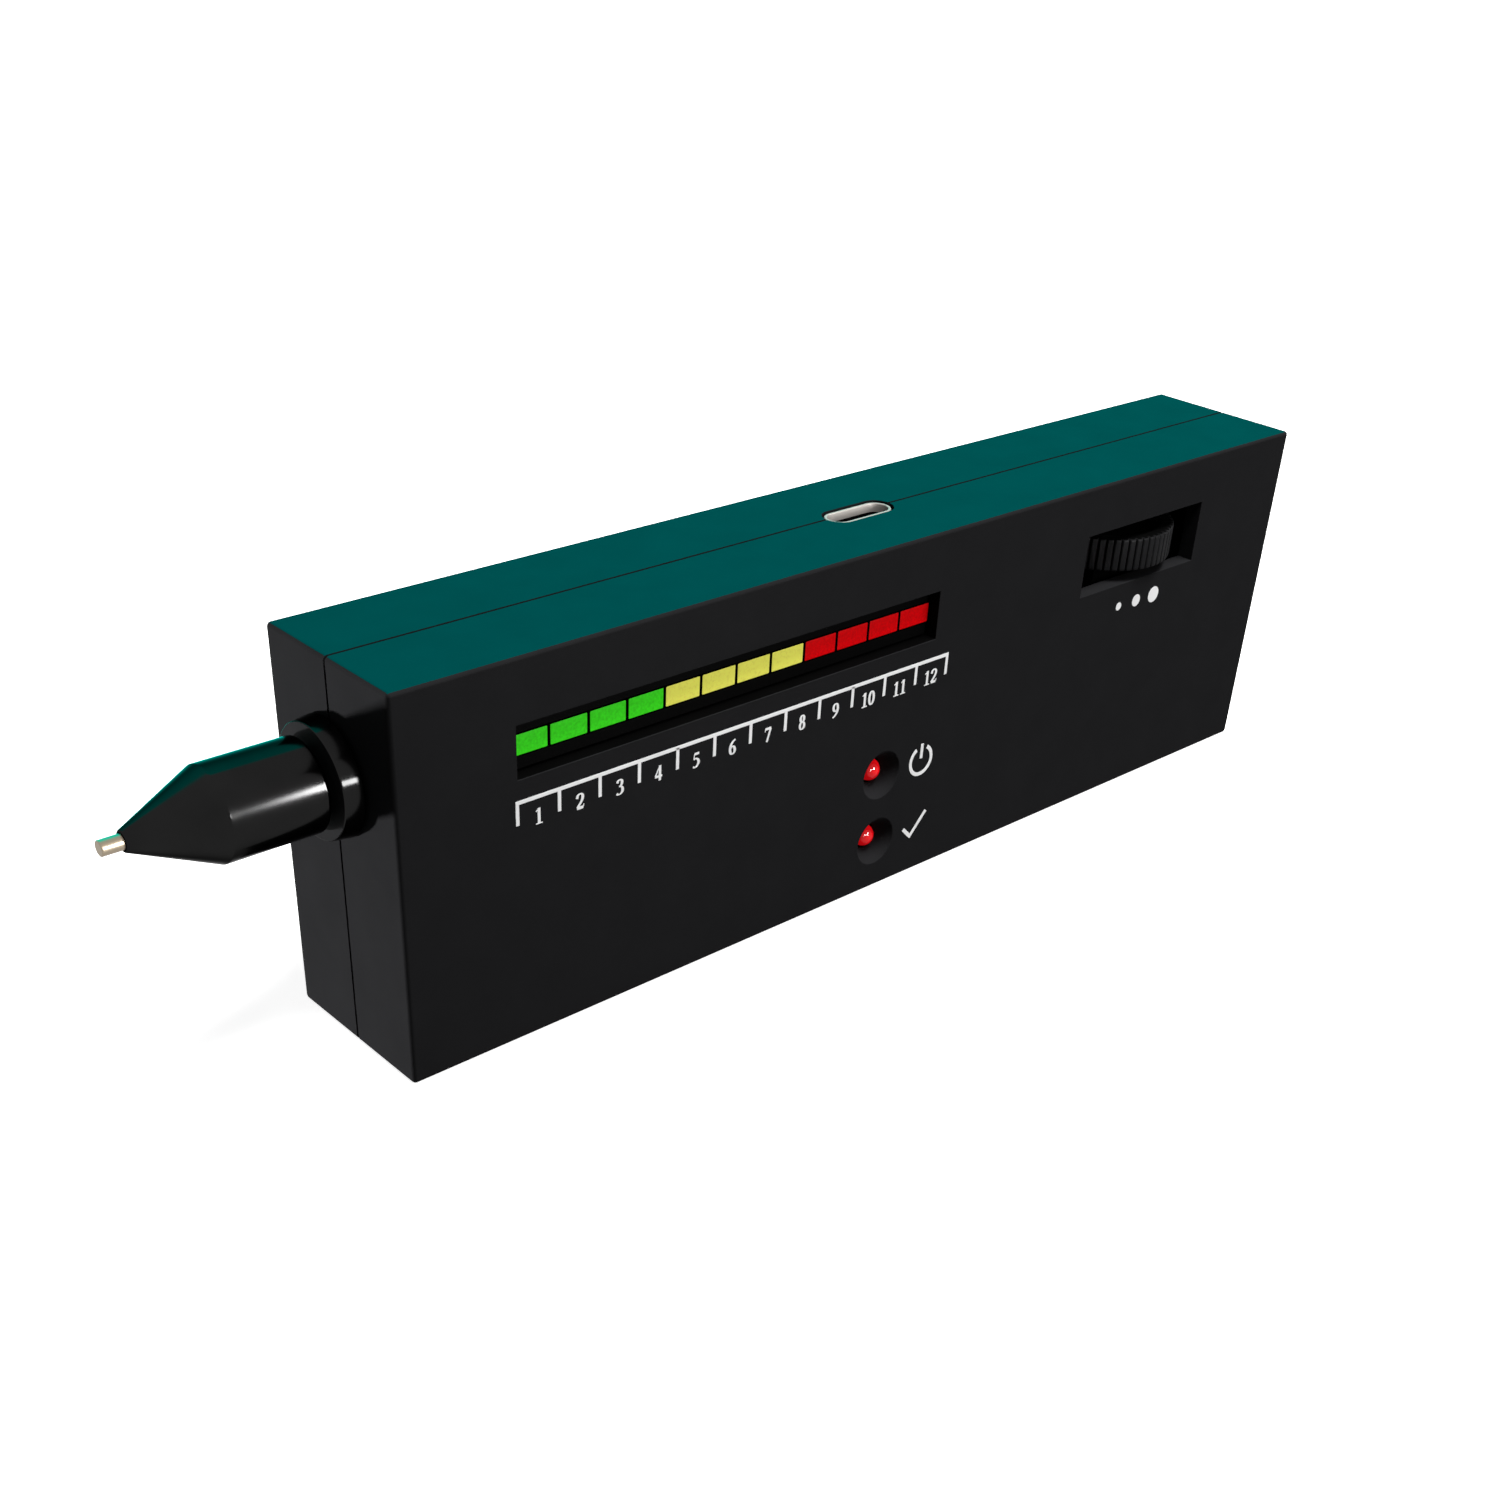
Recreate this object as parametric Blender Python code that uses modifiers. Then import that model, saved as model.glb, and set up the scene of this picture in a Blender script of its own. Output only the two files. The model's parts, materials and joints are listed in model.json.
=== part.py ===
"""A hand-held gemstone tester with a sprung, heated probe, a row of twelve lights and a thumbwheel.

The case stands on its long narrow side. X runs along the case, away from the probe, Y from the
front to the back, and Z up. The origin is under the middle of the whole tester, on its base.
"""
import math

import bmesh
import bpy
from mathutils import Matrix, Vector

# Clearances and joins
GAP = 0.0003
FINE_GAP = 0.00015
SLIDE_GAP = 0.0001
OVERRUN = 0.001
EMBED = 0.0006

# Case: two shells that meet on the middle plane
CASE_LENGTH = 0.133
CASE_DEPTH = 0.020
CASE_HEIGHT = 0.041
WALL = 0.002
EDGE_ROUND = 0.00045
LIP_REACH = 0.0015
LIP_WALL = 0.0008

# Screws that close the case, driven from the back
CASE_SCREW_SHANK = 0.0009
CASE_SCREW_HEAD = 0.0019
CASE_SCREW_HEAD_HEIGHT = 0.0014
CASE_SCREW_SINK = 0.0024
CASE_SCREW_ENGAGE = 0.0054
DRIVE_SLOT_WIDTH = 0.0005
DRIVE_SLOT_DEPTH = 0.0007
BOSS_WALL = 0.001
BACK_BOSS_WALL = 0.0006
NOSE_BOSS_SHIFT = 0.0029

# Probe tip, along its own axis
TIP_LENGTH = 0.023
TIP_BELOW_TOP = 0.0115
PIN_EXPOSED = 0.0021
PIN_RADIUS = 0.00075
PIN_TRAVEL = 0.0015
CONE_LENGTH = 0.0081
CONE_END_RADIUS = 0.001
BARREL_RADIUS = 0.0046
BARREL_WALL = 0.001
BARREL_GROOVE = 0.00075
BARREL_ENGAGE = 0.0038
COLLAR_LENGTH = 0.0024
COLLAR_RADIUS = 0.0059
COLLAR_ROUND = 0.0005
COLLAR_BAND_REAR = 0.0009
NUT_THICKNESS = 0.0025
NUT_WALL = 0.0012

# Parts that slide in the tip
PLUNGER_TAIL_RADIUS = 0.0018
PLUNGER_TAIL_BORE = 0.0011
PLUNGER_TAIL_END = 0.0016
PLUNGER_STOP_STEP = 0.00015
PLUNGER_HEAD_WALL = 0.00065
PLUNGER_HEAD_LENGTH = 0.0022
FLANGE_THICKNESS = 0.001
CLIP_THICKNESS = 0.0006
CLIP_RADIUS = 0.0025
CLIP_GROOVE_DEPTH = 0.0003
INSULATOR_WALL = 0.0007
INSULATOR_LENGTH = 0.0027
HEATER_LENGTH = 0.0013
THERMISTOR_RADIUS = 0.00045
SPRING_WIRE = 0.0004
SPRING_RADIUS = 0.0028
SPRING_TURNS = 4
LEADS = 4
LEAD_RADIUS = 0.0002
LEAD_SPACING = 0.0009

# Circuit board and what fastens it
BOARD_THICKNESS = 0.0016
BOARD_TAIL_GAP = 0.0019
BOARD_END_INSET = 0.008
BOARD_EDGE_GAP = 0.0005
BOARD_SCREW_SHANK = 0.0008
BOARD_SCREW_HEAD = 0.0017
BOARD_SCREW_HEAD_HEIGHT = 0.0011
BOARD_SCREW_ENGAGE = 0.005
STANDOFF_RADIUS = 0.002
STANDOFF_LEFT = 0.015
STANDOFF_LOW = 0.0085
STANDOFF_HIGH_SHARE = 0.63
STANDOFF_RIGHT_INSET = 0.0125
STANDOFF_CELL_GAP = 0.0016

# Row of twelve flat lights and its holder
LIGHT_COUNT = 12
LIGHT_PITCH = 0.00472
LIGHT_HEIGHT = 0.00215
LIGHT_LENGTH = 0.007
LIGHT_DEPTH = 0.00135
LIGHT_LEG = 0.0005
LIGHT_LEG_SPACING = 0.00254
BAR_START = 0.01335
BAR_BELOW_TOP = 0.0094
BAR_WINDOW_HEIGHT = 0.00546
HOLDER_FLANGE = 0.001
HOLDER_DEPTH = 0.0042
HOLDER_FACE_DEPTH = 0.0001
HOLDER_POST = 0.0007

# Two round lamps in countersinks
LAMP_START = 0.0633
POWER_LAMP_HEIGHT = 0.01435
READY_LAMP_HEIGHT = 0.006
LAMP_RADIUS = 0.0013
LAMP_DEPTH = 0.0021
LAMP_LENGTH = 0.0042
LAMP_FLANGE = 0.0003
LAMP_FLANGE_THICKNESS = 0.0009
COUNTERSINK_RADIUS = 0.00285
COUNTERSINK_LAND = 0.0003

# Thumbwheel and the potentiometer that it turns
WHEEL_END_INSET = 0.0254
WHEEL_BELOW_TOP = 0.00985
WHEEL_THICKNESS = 0.0039
WHEEL_PROUD = 0.0008
WHEEL_BACK_GAP = 0.0006
WHEEL_WINDOW_END_INSET = 0.0271
WHEEL_WINDOW_BELOW_TOP = 0.0095
WHEEL_WINDOW_LENGTH = 0.0216
WHEEL_WINDOW_HEIGHT = 0.0073
WHEEL_SLOT_GAP = 0.0006
RIDGE_COUNT = 60
RIDGE_DEPTH = 0.00035
RIDGE_FLAT_SHARE = 0.7
WHEEL_RIM = 0.0012
WHEEL_DISH = 0.0009
WHEEL_HUB_RADIUS = 0.0031
SHAFT_RADIUS = 0.0015
SHAFT_BORE = 0.0010
WHEEL_SCREW_HEAD = 0.0025
WHEEL_SCREW_HEAD_HEIGHT = 0.0010
WHEEL_SCREW_LENGTH = 0.0032
POT_LENGTH = 0.012
POT_HEIGHT = 0.0046
POT_FRONT_GAP = 0.0014
POT_WHEEL_GAP = 0.0004
POT_FLOOR = 0.001
TERMINAL_THICKNESS = 0.0004
TERMINAL_WIDTH = 0.001
TERMINAL_DROP = 0.003
TERMINAL_SPACING = 0.0035

# Charging socket in the top, on the seam
PORT_START = 0.06655
PORT_LENGTH = 0.00894
PORT_WIDTH = 0.00326
PORT_WALL = 0.0003
PORT_SHELL_LENGTH = 0.0073
PORT_SINK = 0.00015
PORT_BACK = 0.0016
TONGUE_LENGTH = 0.0067
TONGUE_THICKNESS = 0.0007
TONGUE_SINK = 0.0008

# Battery
CELL_START = 0.019
CELL_LENGTH = 0.052
CELL_INSET = 0.0055
CELL_ROUND = 0.0008
PAD_THICKNESS = 0.0005
PAD_INSET = 0.004
BATTERY_LEAD_RADIUS = 0.0005
BATTERY_LEAD_SPACING = 0.002
BATTERY_PLUG_GAP = 0.005
PLUG_DEPTH = 0.0045
PLUG_WIDTH = 0.0075
PLUG_THICKNESS = 0.0034

# Small parts soldered to the board
BUZZER_RADIUS = 0.0055
BUZZER_HEIGHT = 0.005
BUZZER_HOLE_RADIUS = 0.001
BUZZER_SHELL = 0.0008
CHIP_HEIGHT = 0.0015
CHIP_LEG_WIDTH = 0.0004
CHIP_LEG_REACH = 0.0009
CHIP_LEG_PITCH = 0.00127
CHIP_LEG_THICKNESS = 0.0003
RESISTOR_LENGTH = 0.0016
RESISTOR_WIDTH = 0.0008
RESISTOR_HEIGHT = 0.0006

# Places on the board, as shares of its length and height
BUZZER_PLACE_SHARES = (0.70, 0.30)
CONTROLLER_PLACE_SHARES = (0.25, 0.42)
AMPLIFIER_PLACE_SHARES = (0.13, 0.20)
CHARGER_PLACE_SHARES = (0.60, 0.80)
RESISTOR_ROW_SHARES = (0.33, 0.12)
RESISTOR_STEP_SHARE = 0.028
PROBE_PLUG_PLACE_SHARES = (0.045, 0.45)
RESISTORS = 3
CONTROLLER_LEGS = 12
AMPLIFIER_LEGS = 4
CHARGER_LEGS = 4

# How finely round pieces are cut
TIP_STEPS = 48
SMALL_STEPS = 24
TINY_STEPS = 16
ARC_STEPS = 4
EDGE_STEPS = 3
SPRING_POINTS = 10
MERGE = 0.00001
SMOOTH_ANGLE = math.radians(35)

# Places that follow from the sizes
case_end = (TIP_LENGTH - CASE_LENGTH) / 2
far_end = (TIP_LENGTH + CASE_LENGTH) / 2
front = -CASE_DEPTH / 2
back = CASE_DEPTH / 2
inner_front = front + WALL
inner_back = back - WALL
inner_end = case_end + WALL
inner_far = far_end - WALL
inner_top = CASE_HEIGHT - WALL
tip_z = CASE_HEIGHT - TIP_BELOW_TOP
bar_z = CASE_HEIGHT - BAR_BELOW_TOP
wheel_z = CASE_HEIGHT - WHEEL_BELOW_TOP
window_z = CASE_HEIGHT - WHEEL_WINDOW_BELOW_TOP
lip_inset = WALL + GAP + LIP_WALL

boss_hole = CASE_SCREW_SHANK + GAP
boss_radius = boss_hole + BOSS_WALL
sink_radius = CASE_SCREW_HEAD + GAP
back_boss_radius = sink_radius + BACK_BOSS_WALL
boss_inset = lip_inset + GAP + boss_radius
boss_places = (
    (case_end + boss_inset, boss_inset),
    (case_end + boss_inset + NOSE_BOSS_SHIFT, CASE_HEIGHT - boss_inset),
    (far_end - boss_inset, boss_inset),
    (far_end - boss_inset, CASE_HEIGHT - boss_inset),
)

bar_left = case_end + BAR_START
bar_length = LIGHT_COUNT * LIGHT_PITCH
bar_right = bar_left + bar_length
bar_low = bar_z - BAR_WINDOW_HEIGHT / 2
bar_high = bar_z + BAR_WINDOW_HEIGHT / 2

port_x = case_end + PORT_START
port_low = CASE_HEIGHT - PORT_SINK - PORT_SHELL_LENGTH

standoff_hole = BOARD_SCREW_SHANK + GAP
standoff_high = STANDOFF_HIGH_SHARE * CASE_HEIGHT
cell_left = case_end + CELL_START
cell_right = cell_left + CELL_LENGTH
standoff_places = (
    (case_end + STANDOFF_LEFT, STANDOFF_LOW),
    (cell_right + STANDOFF_CELL_GAP + BOARD_SCREW_HEAD, standoff_high),
    (far_end - STANDOFF_RIGHT_INSET, STANDOFF_LOW),
    (far_end - STANDOFF_RIGHT_INSET, standoff_high),
)

wheel_radius = (CASE_DEPTH - WALL - WHEEL_BACK_GAP + WHEEL_PROUD) / 2
wheel_x = far_end - WHEEL_END_INSET
window_x = far_end - WHEEL_WINDOW_END_INSET
wheel_y = front - WHEEL_PROUD + wheel_radius
pot_top = -WHEEL_THICKNESS / 2 - POT_WHEEL_GAP
dish_floor = WHEEL_THICKNESS / 2 - WHEEL_DISH

lamp_x = case_end + LAMP_START

# Stations along the tip's axis, forward of the case's end
pin_end = TIP_LENGTH
cone_end = pin_end - PIN_EXPOSED
shoulder = cone_end - CONE_LENGTH
barrel_rear = COLLAR_LENGTH + BARREL_GROOVE
spigot_end = COLLAR_LENGTH + BARREL_ENGAGE
cone_slope = (BARREL_RADIUS - CONE_END_RADIUS) / CONE_LENGTH
cone_wall = BARREL_WALL * math.hypot(1, cone_slope)
barrel_bore = BARREL_RADIUS - BARREL_WALL
pin_hole = PIN_RADIUS + SLIDE_GAP
guide_rear = cone_end - (pin_hole + cone_wall - CONE_END_RADIUS) / cone_slope
bore_end = shoulder + (BARREL_RADIUS - cone_wall - barrel_bore) / cone_slope
spigot_radius = barrel_bore - GAP
tail_hole = PLUNGER_TAIL_RADIUS + GAP
sleeve_radius = BARREL_RADIUS - 2 * GAP
wall_hole = sleeve_radius + GAP
nut_front = -WALL - GAP
nut_rear = nut_front - NUT_THICKNESS
sleeve_end = nut_rear - GAP
nut_radius = (wall_hole + NUT_WALL) / math.cos(math.pi / 6)
clip_front = sleeve_end - GAP
clip_rear = clip_front - CLIP_THICKNESS
tail_end = clip_rear - PLUNGER_TAIL_END
flange_front = bore_end - GAP
flange_rear = flange_front - FLANGE_THICKNESS
flange_radius = barrel_bore - GAP
stop_rear = spigot_end + PIN_TRAVEL + GAP
stop_radius = tail_hole + PLUNGER_STOP_STEP
head_front = flange_front + PLUNGER_HEAD_LENGTH
insulator_bore = PIN_RADIUS + FINE_GAP
insulator_radius = insulator_bore + INSULATOR_WALL
pocket_radius = insulator_radius + FINE_GAP
head_radius = pocket_radius + PLUNGER_HEAD_WALL
pocket_floor = flange_rear + FINE_GAP
heater_rear = pocket_floor + FINE_GAP
heater_front = heater_rear + HEATER_LENGTH
insulator_rear = heater_front + FINE_GAP
insulator_front = insulator_rear + INSULATOR_LENGTH
thermistor_centre = heater_rear + THERMISTOR_RADIUS
pin_rear = thermistor_centre + THERMISTOR_RADIUS + FINE_GAP

# The board stands behind the socket and starts past the plunger's reach
board_front = PORT_WIDTH / 2 + GAP
board_back = board_front + BOARD_THICKNESS
board_seat = board_front - GAP
board_left = case_end - tail_end + PIN_TRAVEL + BOARD_TAIL_GAP
board_right = far_end - BOARD_END_INSET
board_base = lip_inset + BOARD_EDGE_GAP
board_top = CASE_HEIGHT - lip_inset - BOARD_EDGE_GAP

# The case screws' heads sit in sinks in the back
sink_floor = back - CASE_SCREW_SINK
head_seat = sink_floor + GAP


def linear(colour):
    """Three linear values from a hex sRGB colour."""
    channels = [int(colour[place:place + 2], 16) / 255 for place in (0, 2, 4)]
    return [c / 12.92 if c <= 0.04045 else ((c + 0.055) / 1.055) ** 2.4 for c in channels]


def finish(name, colour, roughness, metallic=0.0):
    """A Principled material."""
    material = bpy.data.materials.new(name)
    material.use_nodes = True
    shader = material.node_tree.nodes["Principled BSDF"]
    shader.inputs["Base Color"].default_value = (*linear(colour), 1)
    shader.inputs["Roughness"].default_value = roughness
    shader.inputs["Metallic"].default_value = metallic
    return material


def collection(name):
    """A collection in the scene."""
    made = bpy.data.collections.new(name)
    bpy.context.scene.collection.children.link(made)
    return made


def clear_scene():
    """Removes what the scene held."""
    for obj in list(bpy.data.objects):
        bpy.data.objects.remove(obj, do_unlink=True)


def place(name, mesh, material=None, parent=None):
    """A new part on a mesh."""
    obj = bpy.data.objects.new(name, mesh)
    parts.objects.link(obj)
    if material:
        mesh.materials.append(material)
    obj.parent = parent
    return obj


def axis_empty(name, location, rotation=(0, 0, 0)):
    """An empty that carries the pieces on one axis."""
    empty = bpy.data.objects.new(name, None)
    empty.location = location
    empty.rotation_euler = rotation
    parts.objects.link(empty)
    return empty


def from_bmesh(name, bm, material=None, parent=None):
    """A part from a finished bmesh."""
    mesh = bpy.data.meshes.new(name)
    bm.to_mesh(mesh)
    bm.free()
    return place(name, mesh, material, parent)


def block(name, low, high, material=None, parent=None):
    """A box between two corners."""
    low, high = Vector(low), Vector(high)
    matrix = Matrix.Translation((low + high) / 2) @ Matrix.Diagonal((*(high - low), 1))
    bm = bmesh.new()
    bmesh.ops.create_cube(bm, size=1, matrix=matrix)
    return from_bmesh(name, bm, material, parent)


def bar(name, start, end, radius, material=None, parent=None, end_radius=None, steps=SMALL_STEPS):
    """A round bar, or a cone, between two points."""
    start, end = Vector(start), Vector(end)
    turn = (end - start).to_track_quat("Z", "Y").to_matrix().to_4x4()
    bm = bmesh.new()
    bmesh.ops.create_cone(
        bm,
        cap_ends=True,
        segments=steps,
        radius1=radius,
        radius2=radius if end_radius is None else end_radius,
        depth=(end - start).length,
        matrix=Matrix.Translation((start + end) / 2) @ turn,
    )
    obj = from_bmesh(name, bm, material, parent)
    return smooth(obj)


def smooth(obj):
    """Shades round faces smooth and keeps the edges sharp."""
    obj.data.shade_smooth()
    obj.data.set_sharp_from_angle(angle=SMOOTH_ANGLE)
    return obj


def turned(name, profile, material=None, parent=None, steps=SMALL_STEPS):
    """A turned piece about local Z. The profile's (radius, height) pairs run down the outer side.
    They close into a loop, or start and end on the axis."""
    count = len(profile)
    edges = [(n, n + 1) for n in range(count - 1)]
    if profile[0][0] > 0:
        edges.append((count - 1, 0))
    mesh = bpy.data.meshes.new(name)
    mesh.from_pydata([(radius, 0, height) for radius, height in profile], edges, [])
    obj = place(name, mesh, material, parent)
    screw = obj.modifiers.new("Turn", "SCREW")
    screw.steps = steps
    screw.render_steps = steps
    screw.use_merge_vertices = True
    screw.merge_threshold = MERGE
    return obj


def arc(centre, radius, start, end, steps=ARC_STEPS):
    """Points along an arc in a profile, between two angles in degrees."""
    angles = [math.radians(start + (end - start) * n / steps) for n in range(steps + 1)]
    return [(centre[0] + radius * math.cos(a), centre[1] + radius * math.sin(a)) for a in angles]


def settled_mesh(obj):
    """The mesh that an object's modifiers or bevel give, with loose caps welded."""
    bpy.context.view_layer.update()
    graph = bpy.context.evaluated_depsgraph_get()
    mesh = bpy.data.meshes.new_from_object(obj.evaluated_get(graph))
    bm = bmesh.new()
    bm.from_mesh(mesh)
    bmesh.ops.remove_doubles(bm, verts=bm.verts, dist=MERGE)
    bm.to_mesh(mesh)
    bm.free()
    return mesh


def settle(obj):
    """Replaces an object by a plain mesh object of the same name and place."""
    mesh = settled_mesh(obj)
    name, parent, matrix = obj.name, obj.parent, obj.matrix_world.copy()
    bpy.data.objects.remove(obj, do_unlink=True)
    made = place(name, mesh)
    made.parent = parent
    made.matrix_world = matrix
    return made


def plate(name, outline, thickness, material=None, parent=None):
    """A flat piece from its outline in XY, with its middle on Z = 0."""
    curve = bpy.data.curves.new(name, "CURVE")
    curve.dimensions = "2D"
    curve.fill_mode = "BOTH"
    curve.extrude = thickness / 2
    spline = curve.splines.new("POLY")
    spline.points.add(len(outline) - 1)
    for point, (x, y) in zip(spline.points, outline):
        point.co = (x, y, 0, 1)
    spline.use_cyclic_u = True
    obj = place(name, curve, material, parent)
    return settle(obj)


def tube(name, route, radius, material, sides=2, parent=None):
    """A round tube along a route, with closed ends."""
    curve = bpy.data.curves.new(name, "CURVE")
    curve.dimensions = "3D"
    curve.bevel_depth = radius
    curve.bevel_resolution = sides
    curve.use_fill_caps = True
    spline = curve.splines.new("POLY")
    spline.points.add(len(route) - 1)
    for point, co in zip(spline.points, route):
        point.co = (*co, 1)
    return place(name, curve, material, parent)


def eased(route, steps=ARC_STEPS):
    """A smooth curve through the points of a route."""
    points = [Vector(p) for p in route]
    ends = [2 * points[0] - points[1], *points, 2 * points[-1] - points[-2]]
    made = []
    for n in range(1, len(ends) - 2):
        before, start, end, after = ends[n - 1:n + 3]
        for step in range(steps):
            t = step / steps
            made.append(
                (2 * start + (end - before) * t
                 + (2 * before - 5 * start + 4 * end - after) * t ** 2
                 + (3 * start - before - 3 * end + after) * t ** 3) / 2
            )
    return made + [points[-1]]


def helper(obj):
    """Marks a piece that only cuts or joins another."""
    parts.objects.unlink(obj)
    cutters.objects.link(obj)
    obj.hide_render = True
    obj.display_type = "WIRE"
    return obj


def combine(obj, other, operation):
    """Joins another solid to this one, or cuts it away."""
    modifier = obj.modifiers.new(other.name, "BOOLEAN")
    modifier.operation = operation
    modifier.object = helper(other)
    return obj


def cut(obj, *others):
    """Cuts the other solids away."""
    for other in others:
        combine(obj, other, "DIFFERENCE")
    return obj


def join(obj, *others):
    """Joins the other solids on."""
    for other in others:
        combine(obj, other, "UNION")
    return obj


def discard(obj):
    """Removes a pattern piece after its copies are made, with the solids that shaped it."""
    shapers = [m.object for m in obj.modifiers if m.type == "BOOLEAN"]
    for other in (*shapers, obj):
        bpy.data.objects.remove(other, do_unlink=True)


def copies(name, source, offsets):
    """One object that holds a copy of the source at each offset."""
    mesh = settled_mesh(source)
    world = source.matrix_world.copy()
    discard(source)
    bm = bmesh.new()
    for offset in offsets:
        before = len(bm.verts)
        bm.from_mesh(mesh)
        bm.verts.ensure_lookup_table()
        matrix = Matrix.Translation(offset) @ world
        bmesh.ops.transform(bm, matrix=matrix, verts=bm.verts[before:])
    return from_bmesh(name, bm)


def repeated(name, source, offsets, material):
    """A numbered node for each offset, all on one mesh."""
    mesh = settled_mesh(source)
    mesh.transform(source.matrix_world)
    mesh.materials.clear()
    mesh.materials.append(material)
    discard(source)
    for number, offset in enumerate(offsets, 1):
        node = place(f"{name}_{number}", mesh)
        node.location = offset


def case_block(name, seam_side, outer_side):
    """One shell's outside, with every edge eased but those at the seam, and its top face green."""
    low = (case_end, min(seam_side, outer_side), 0)
    high = (far_end, max(seam_side, outer_side), CASE_HEIGHT)
    obj = block(name, low, high, case_black)
    bm = bmesh.new()
    bm.from_mesh(obj.data)
    eased_edges = [
        e for e in bm.edges
        if any(abs(v.co.y - seam_side) > OVERRUN for v in e.verts)
    ]
    bmesh.ops.bevel(
        bm,
        geom=eased_edges,
        offset=EDGE_ROUND,
        segments=EDGE_STEPS,
        profile=0.5,
        affect="EDGES",
    )
    for face in bm.faces:
        face.material_index = int(face.normal.z > math.cos(SMOOTH_ANGLE / 2))
    bm.to_mesh(obj.data)
    bm.free()
    obj.data.materials.append(case_green)
    return obj


def hollow(name, seam_side, inner_side):
    """The room inside one shell."""
    past = OVERRUN if inner_side < seam_side else -OVERRUN
    y_low, y_high = sorted((inner_side, seam_side + past))
    return block(name, (inner_end, y_low, WALL), (inner_far, y_high, inner_top))


def at_places(places):
    """Offsets in the case for a list of (x, z) places."""
    return [(x, 0, z) for x, z in places]


def posts(name, radius, y_from, y_to, places, steps=SMALL_STEPS):
    """Round posts, or holes, along Y at several places."""
    pattern = bar(name + "_pattern", (0, y_from, 0), (0, y_to, 0), radius, steps=steps)
    return copies(name, pattern, at_places(places))


def stadium(length, width):
    """Outline of a slot with round ends, as many points as a small bar's."""
    radius = width / 2
    centre = length / 2 - radius
    half = SMALL_STEPS // 2
    right = arc((centre, 0), radius, -90, 90, half)
    left = arc((-centre, 0), radius, 90, 270, half)
    return right + left


def tip_hole(name):
    """Cutter for the round hole in the case's end, on the tip's axis."""
    low = -WALL - OVERRUN
    return bar(name, (0, 0, OVERRUN), (0, 0, low), wall_hole, parent=tip_axis, steps=TIP_STEPS)


def window(name, x, length, z, height):
    """Cutter for a window through the front wall, centred on x and z."""
    return block(
        name,
        (x - length / 2, front - OVERRUN, z - height / 2),
        (x + length / 2, inner_front + OVERRUN, z + height / 2),
    )


def port_hole(name):
    """Cutter for the charging socket's slot through the top."""
    slot = plate(name, stadium(PORT_LENGTH + 2 * GAP, PORT_WIDTH + 2 * GAP), WALL + 2 * OVERRUN)
    slot.location = (port_x, 0, CASE_HEIGHT - WALL / 2)
    return slot


def make_front_shell():
    """Front half of the case, with the windows, the lamp countersinks, the bosses and standoffs."""
    seam_side = -GAP / 2
    shell = case_block("front_shell", seam_side, front)
    cut(shell, hollow("front_room", seam_side, inner_front))
    root = inner_front - EMBED
    join(
        shell,
        posts("front_bosses", boss_radius, root, seam_side, boss_places),
        posts("standoffs", STANDOFF_RADIUS, root, board_seat, standoff_places),
    )
    cut(
        shell,
        posts("boss_holes", boss_hole, inner_front, OVERRUN, boss_places),
        posts(
            "standoff_holes",
            standoff_hole,
            inner_front,
            board_front + OVERRUN,
            standoff_places,
            TINY_STEPS,
        ),
        window("bar_window", bar_left + bar_length / 2, bar_length, bar_z, BAR_WINDOW_HEIGHT),
        window("wheel_window", window_x, WHEEL_WINDOW_LENGTH, window_z, WHEEL_WINDOW_HEIGHT),
        tip_hole("front_tip_hole"),
        port_hole("front_port_hole"),
    )
    neck = LAMP_RADIUS + GAP
    cone_depth = WALL - COUNTERSINK_LAND
    flare = (COUNTERSINK_RADIUS - neck) / cone_depth * OVERRUN
    profile = [
        (0, OVERRUN),
        (COUNTERSINK_RADIUS + flare, OVERRUN),
        (neck, -cone_depth),
        (neck, -WALL - OVERRUN),
        (0, -WALL - OVERRUN),
    ]
    for name, height in (("power", POWER_LAMP_HEIGHT), ("ready", READY_LAMP_HEIGHT)):
        sink = turned(name + "_countersink", profile, steps=TIP_STEPS)
        sink.location = (lamp_x, front, height)
        sink.rotation_euler = (math.pi / 2, 0, 0)
        cut(shell, sink)
    return shell


def lip_ring():
    """Lip of the back shell, which stands past the seam just inside the front shell's wall."""
    tongue_inset = WALL + GAP
    tongue = block(
        "lip_tongue",
        (case_end + tongue_inset, -LIP_REACH, tongue_inset),
        (far_end - tongue_inset, GAP + LIP_REACH, CASE_HEIGHT - tongue_inset),
    )
    root_inset = WALL - EMBED
    root = block(
        "lip_root",
        (case_end + root_inset, GAP, root_inset),
        (far_end - root_inset, GAP + LIP_REACH, CASE_HEIGHT - root_inset),
    )
    room = block(
        "lip_room",
        (case_end + lip_inset, -LIP_REACH - OVERRUN, lip_inset),
        (far_end - lip_inset, GAP + LIP_REACH + OVERRUN, CASE_HEIGHT - lip_inset),
    )
    nose_room = bar(
        "lip_nose_room",
        (inner_end - EMBED - OVERRUN, 0, tip_z),
        (inner_end + GAP + LIP_WALL + OVERRUN, 0, tip_z),
        nut_radius + GAP + FINE_GAP,
        steps=TIP_STEPS,
    )
    port_room = block(
        "lip_port_room",
        (port_x - PORT_LENGTH / 2 - 2 * GAP, -LIP_REACH - OVERRUN, CASE_HEIGHT - lip_inset - OVERRUN),
        (port_x + PORT_LENGTH / 2 + 2 * GAP, GAP + LIP_REACH + OVERRUN, CASE_HEIGHT),
    )
    return cut(join(tongue, root), room, nose_room, port_room)


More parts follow.
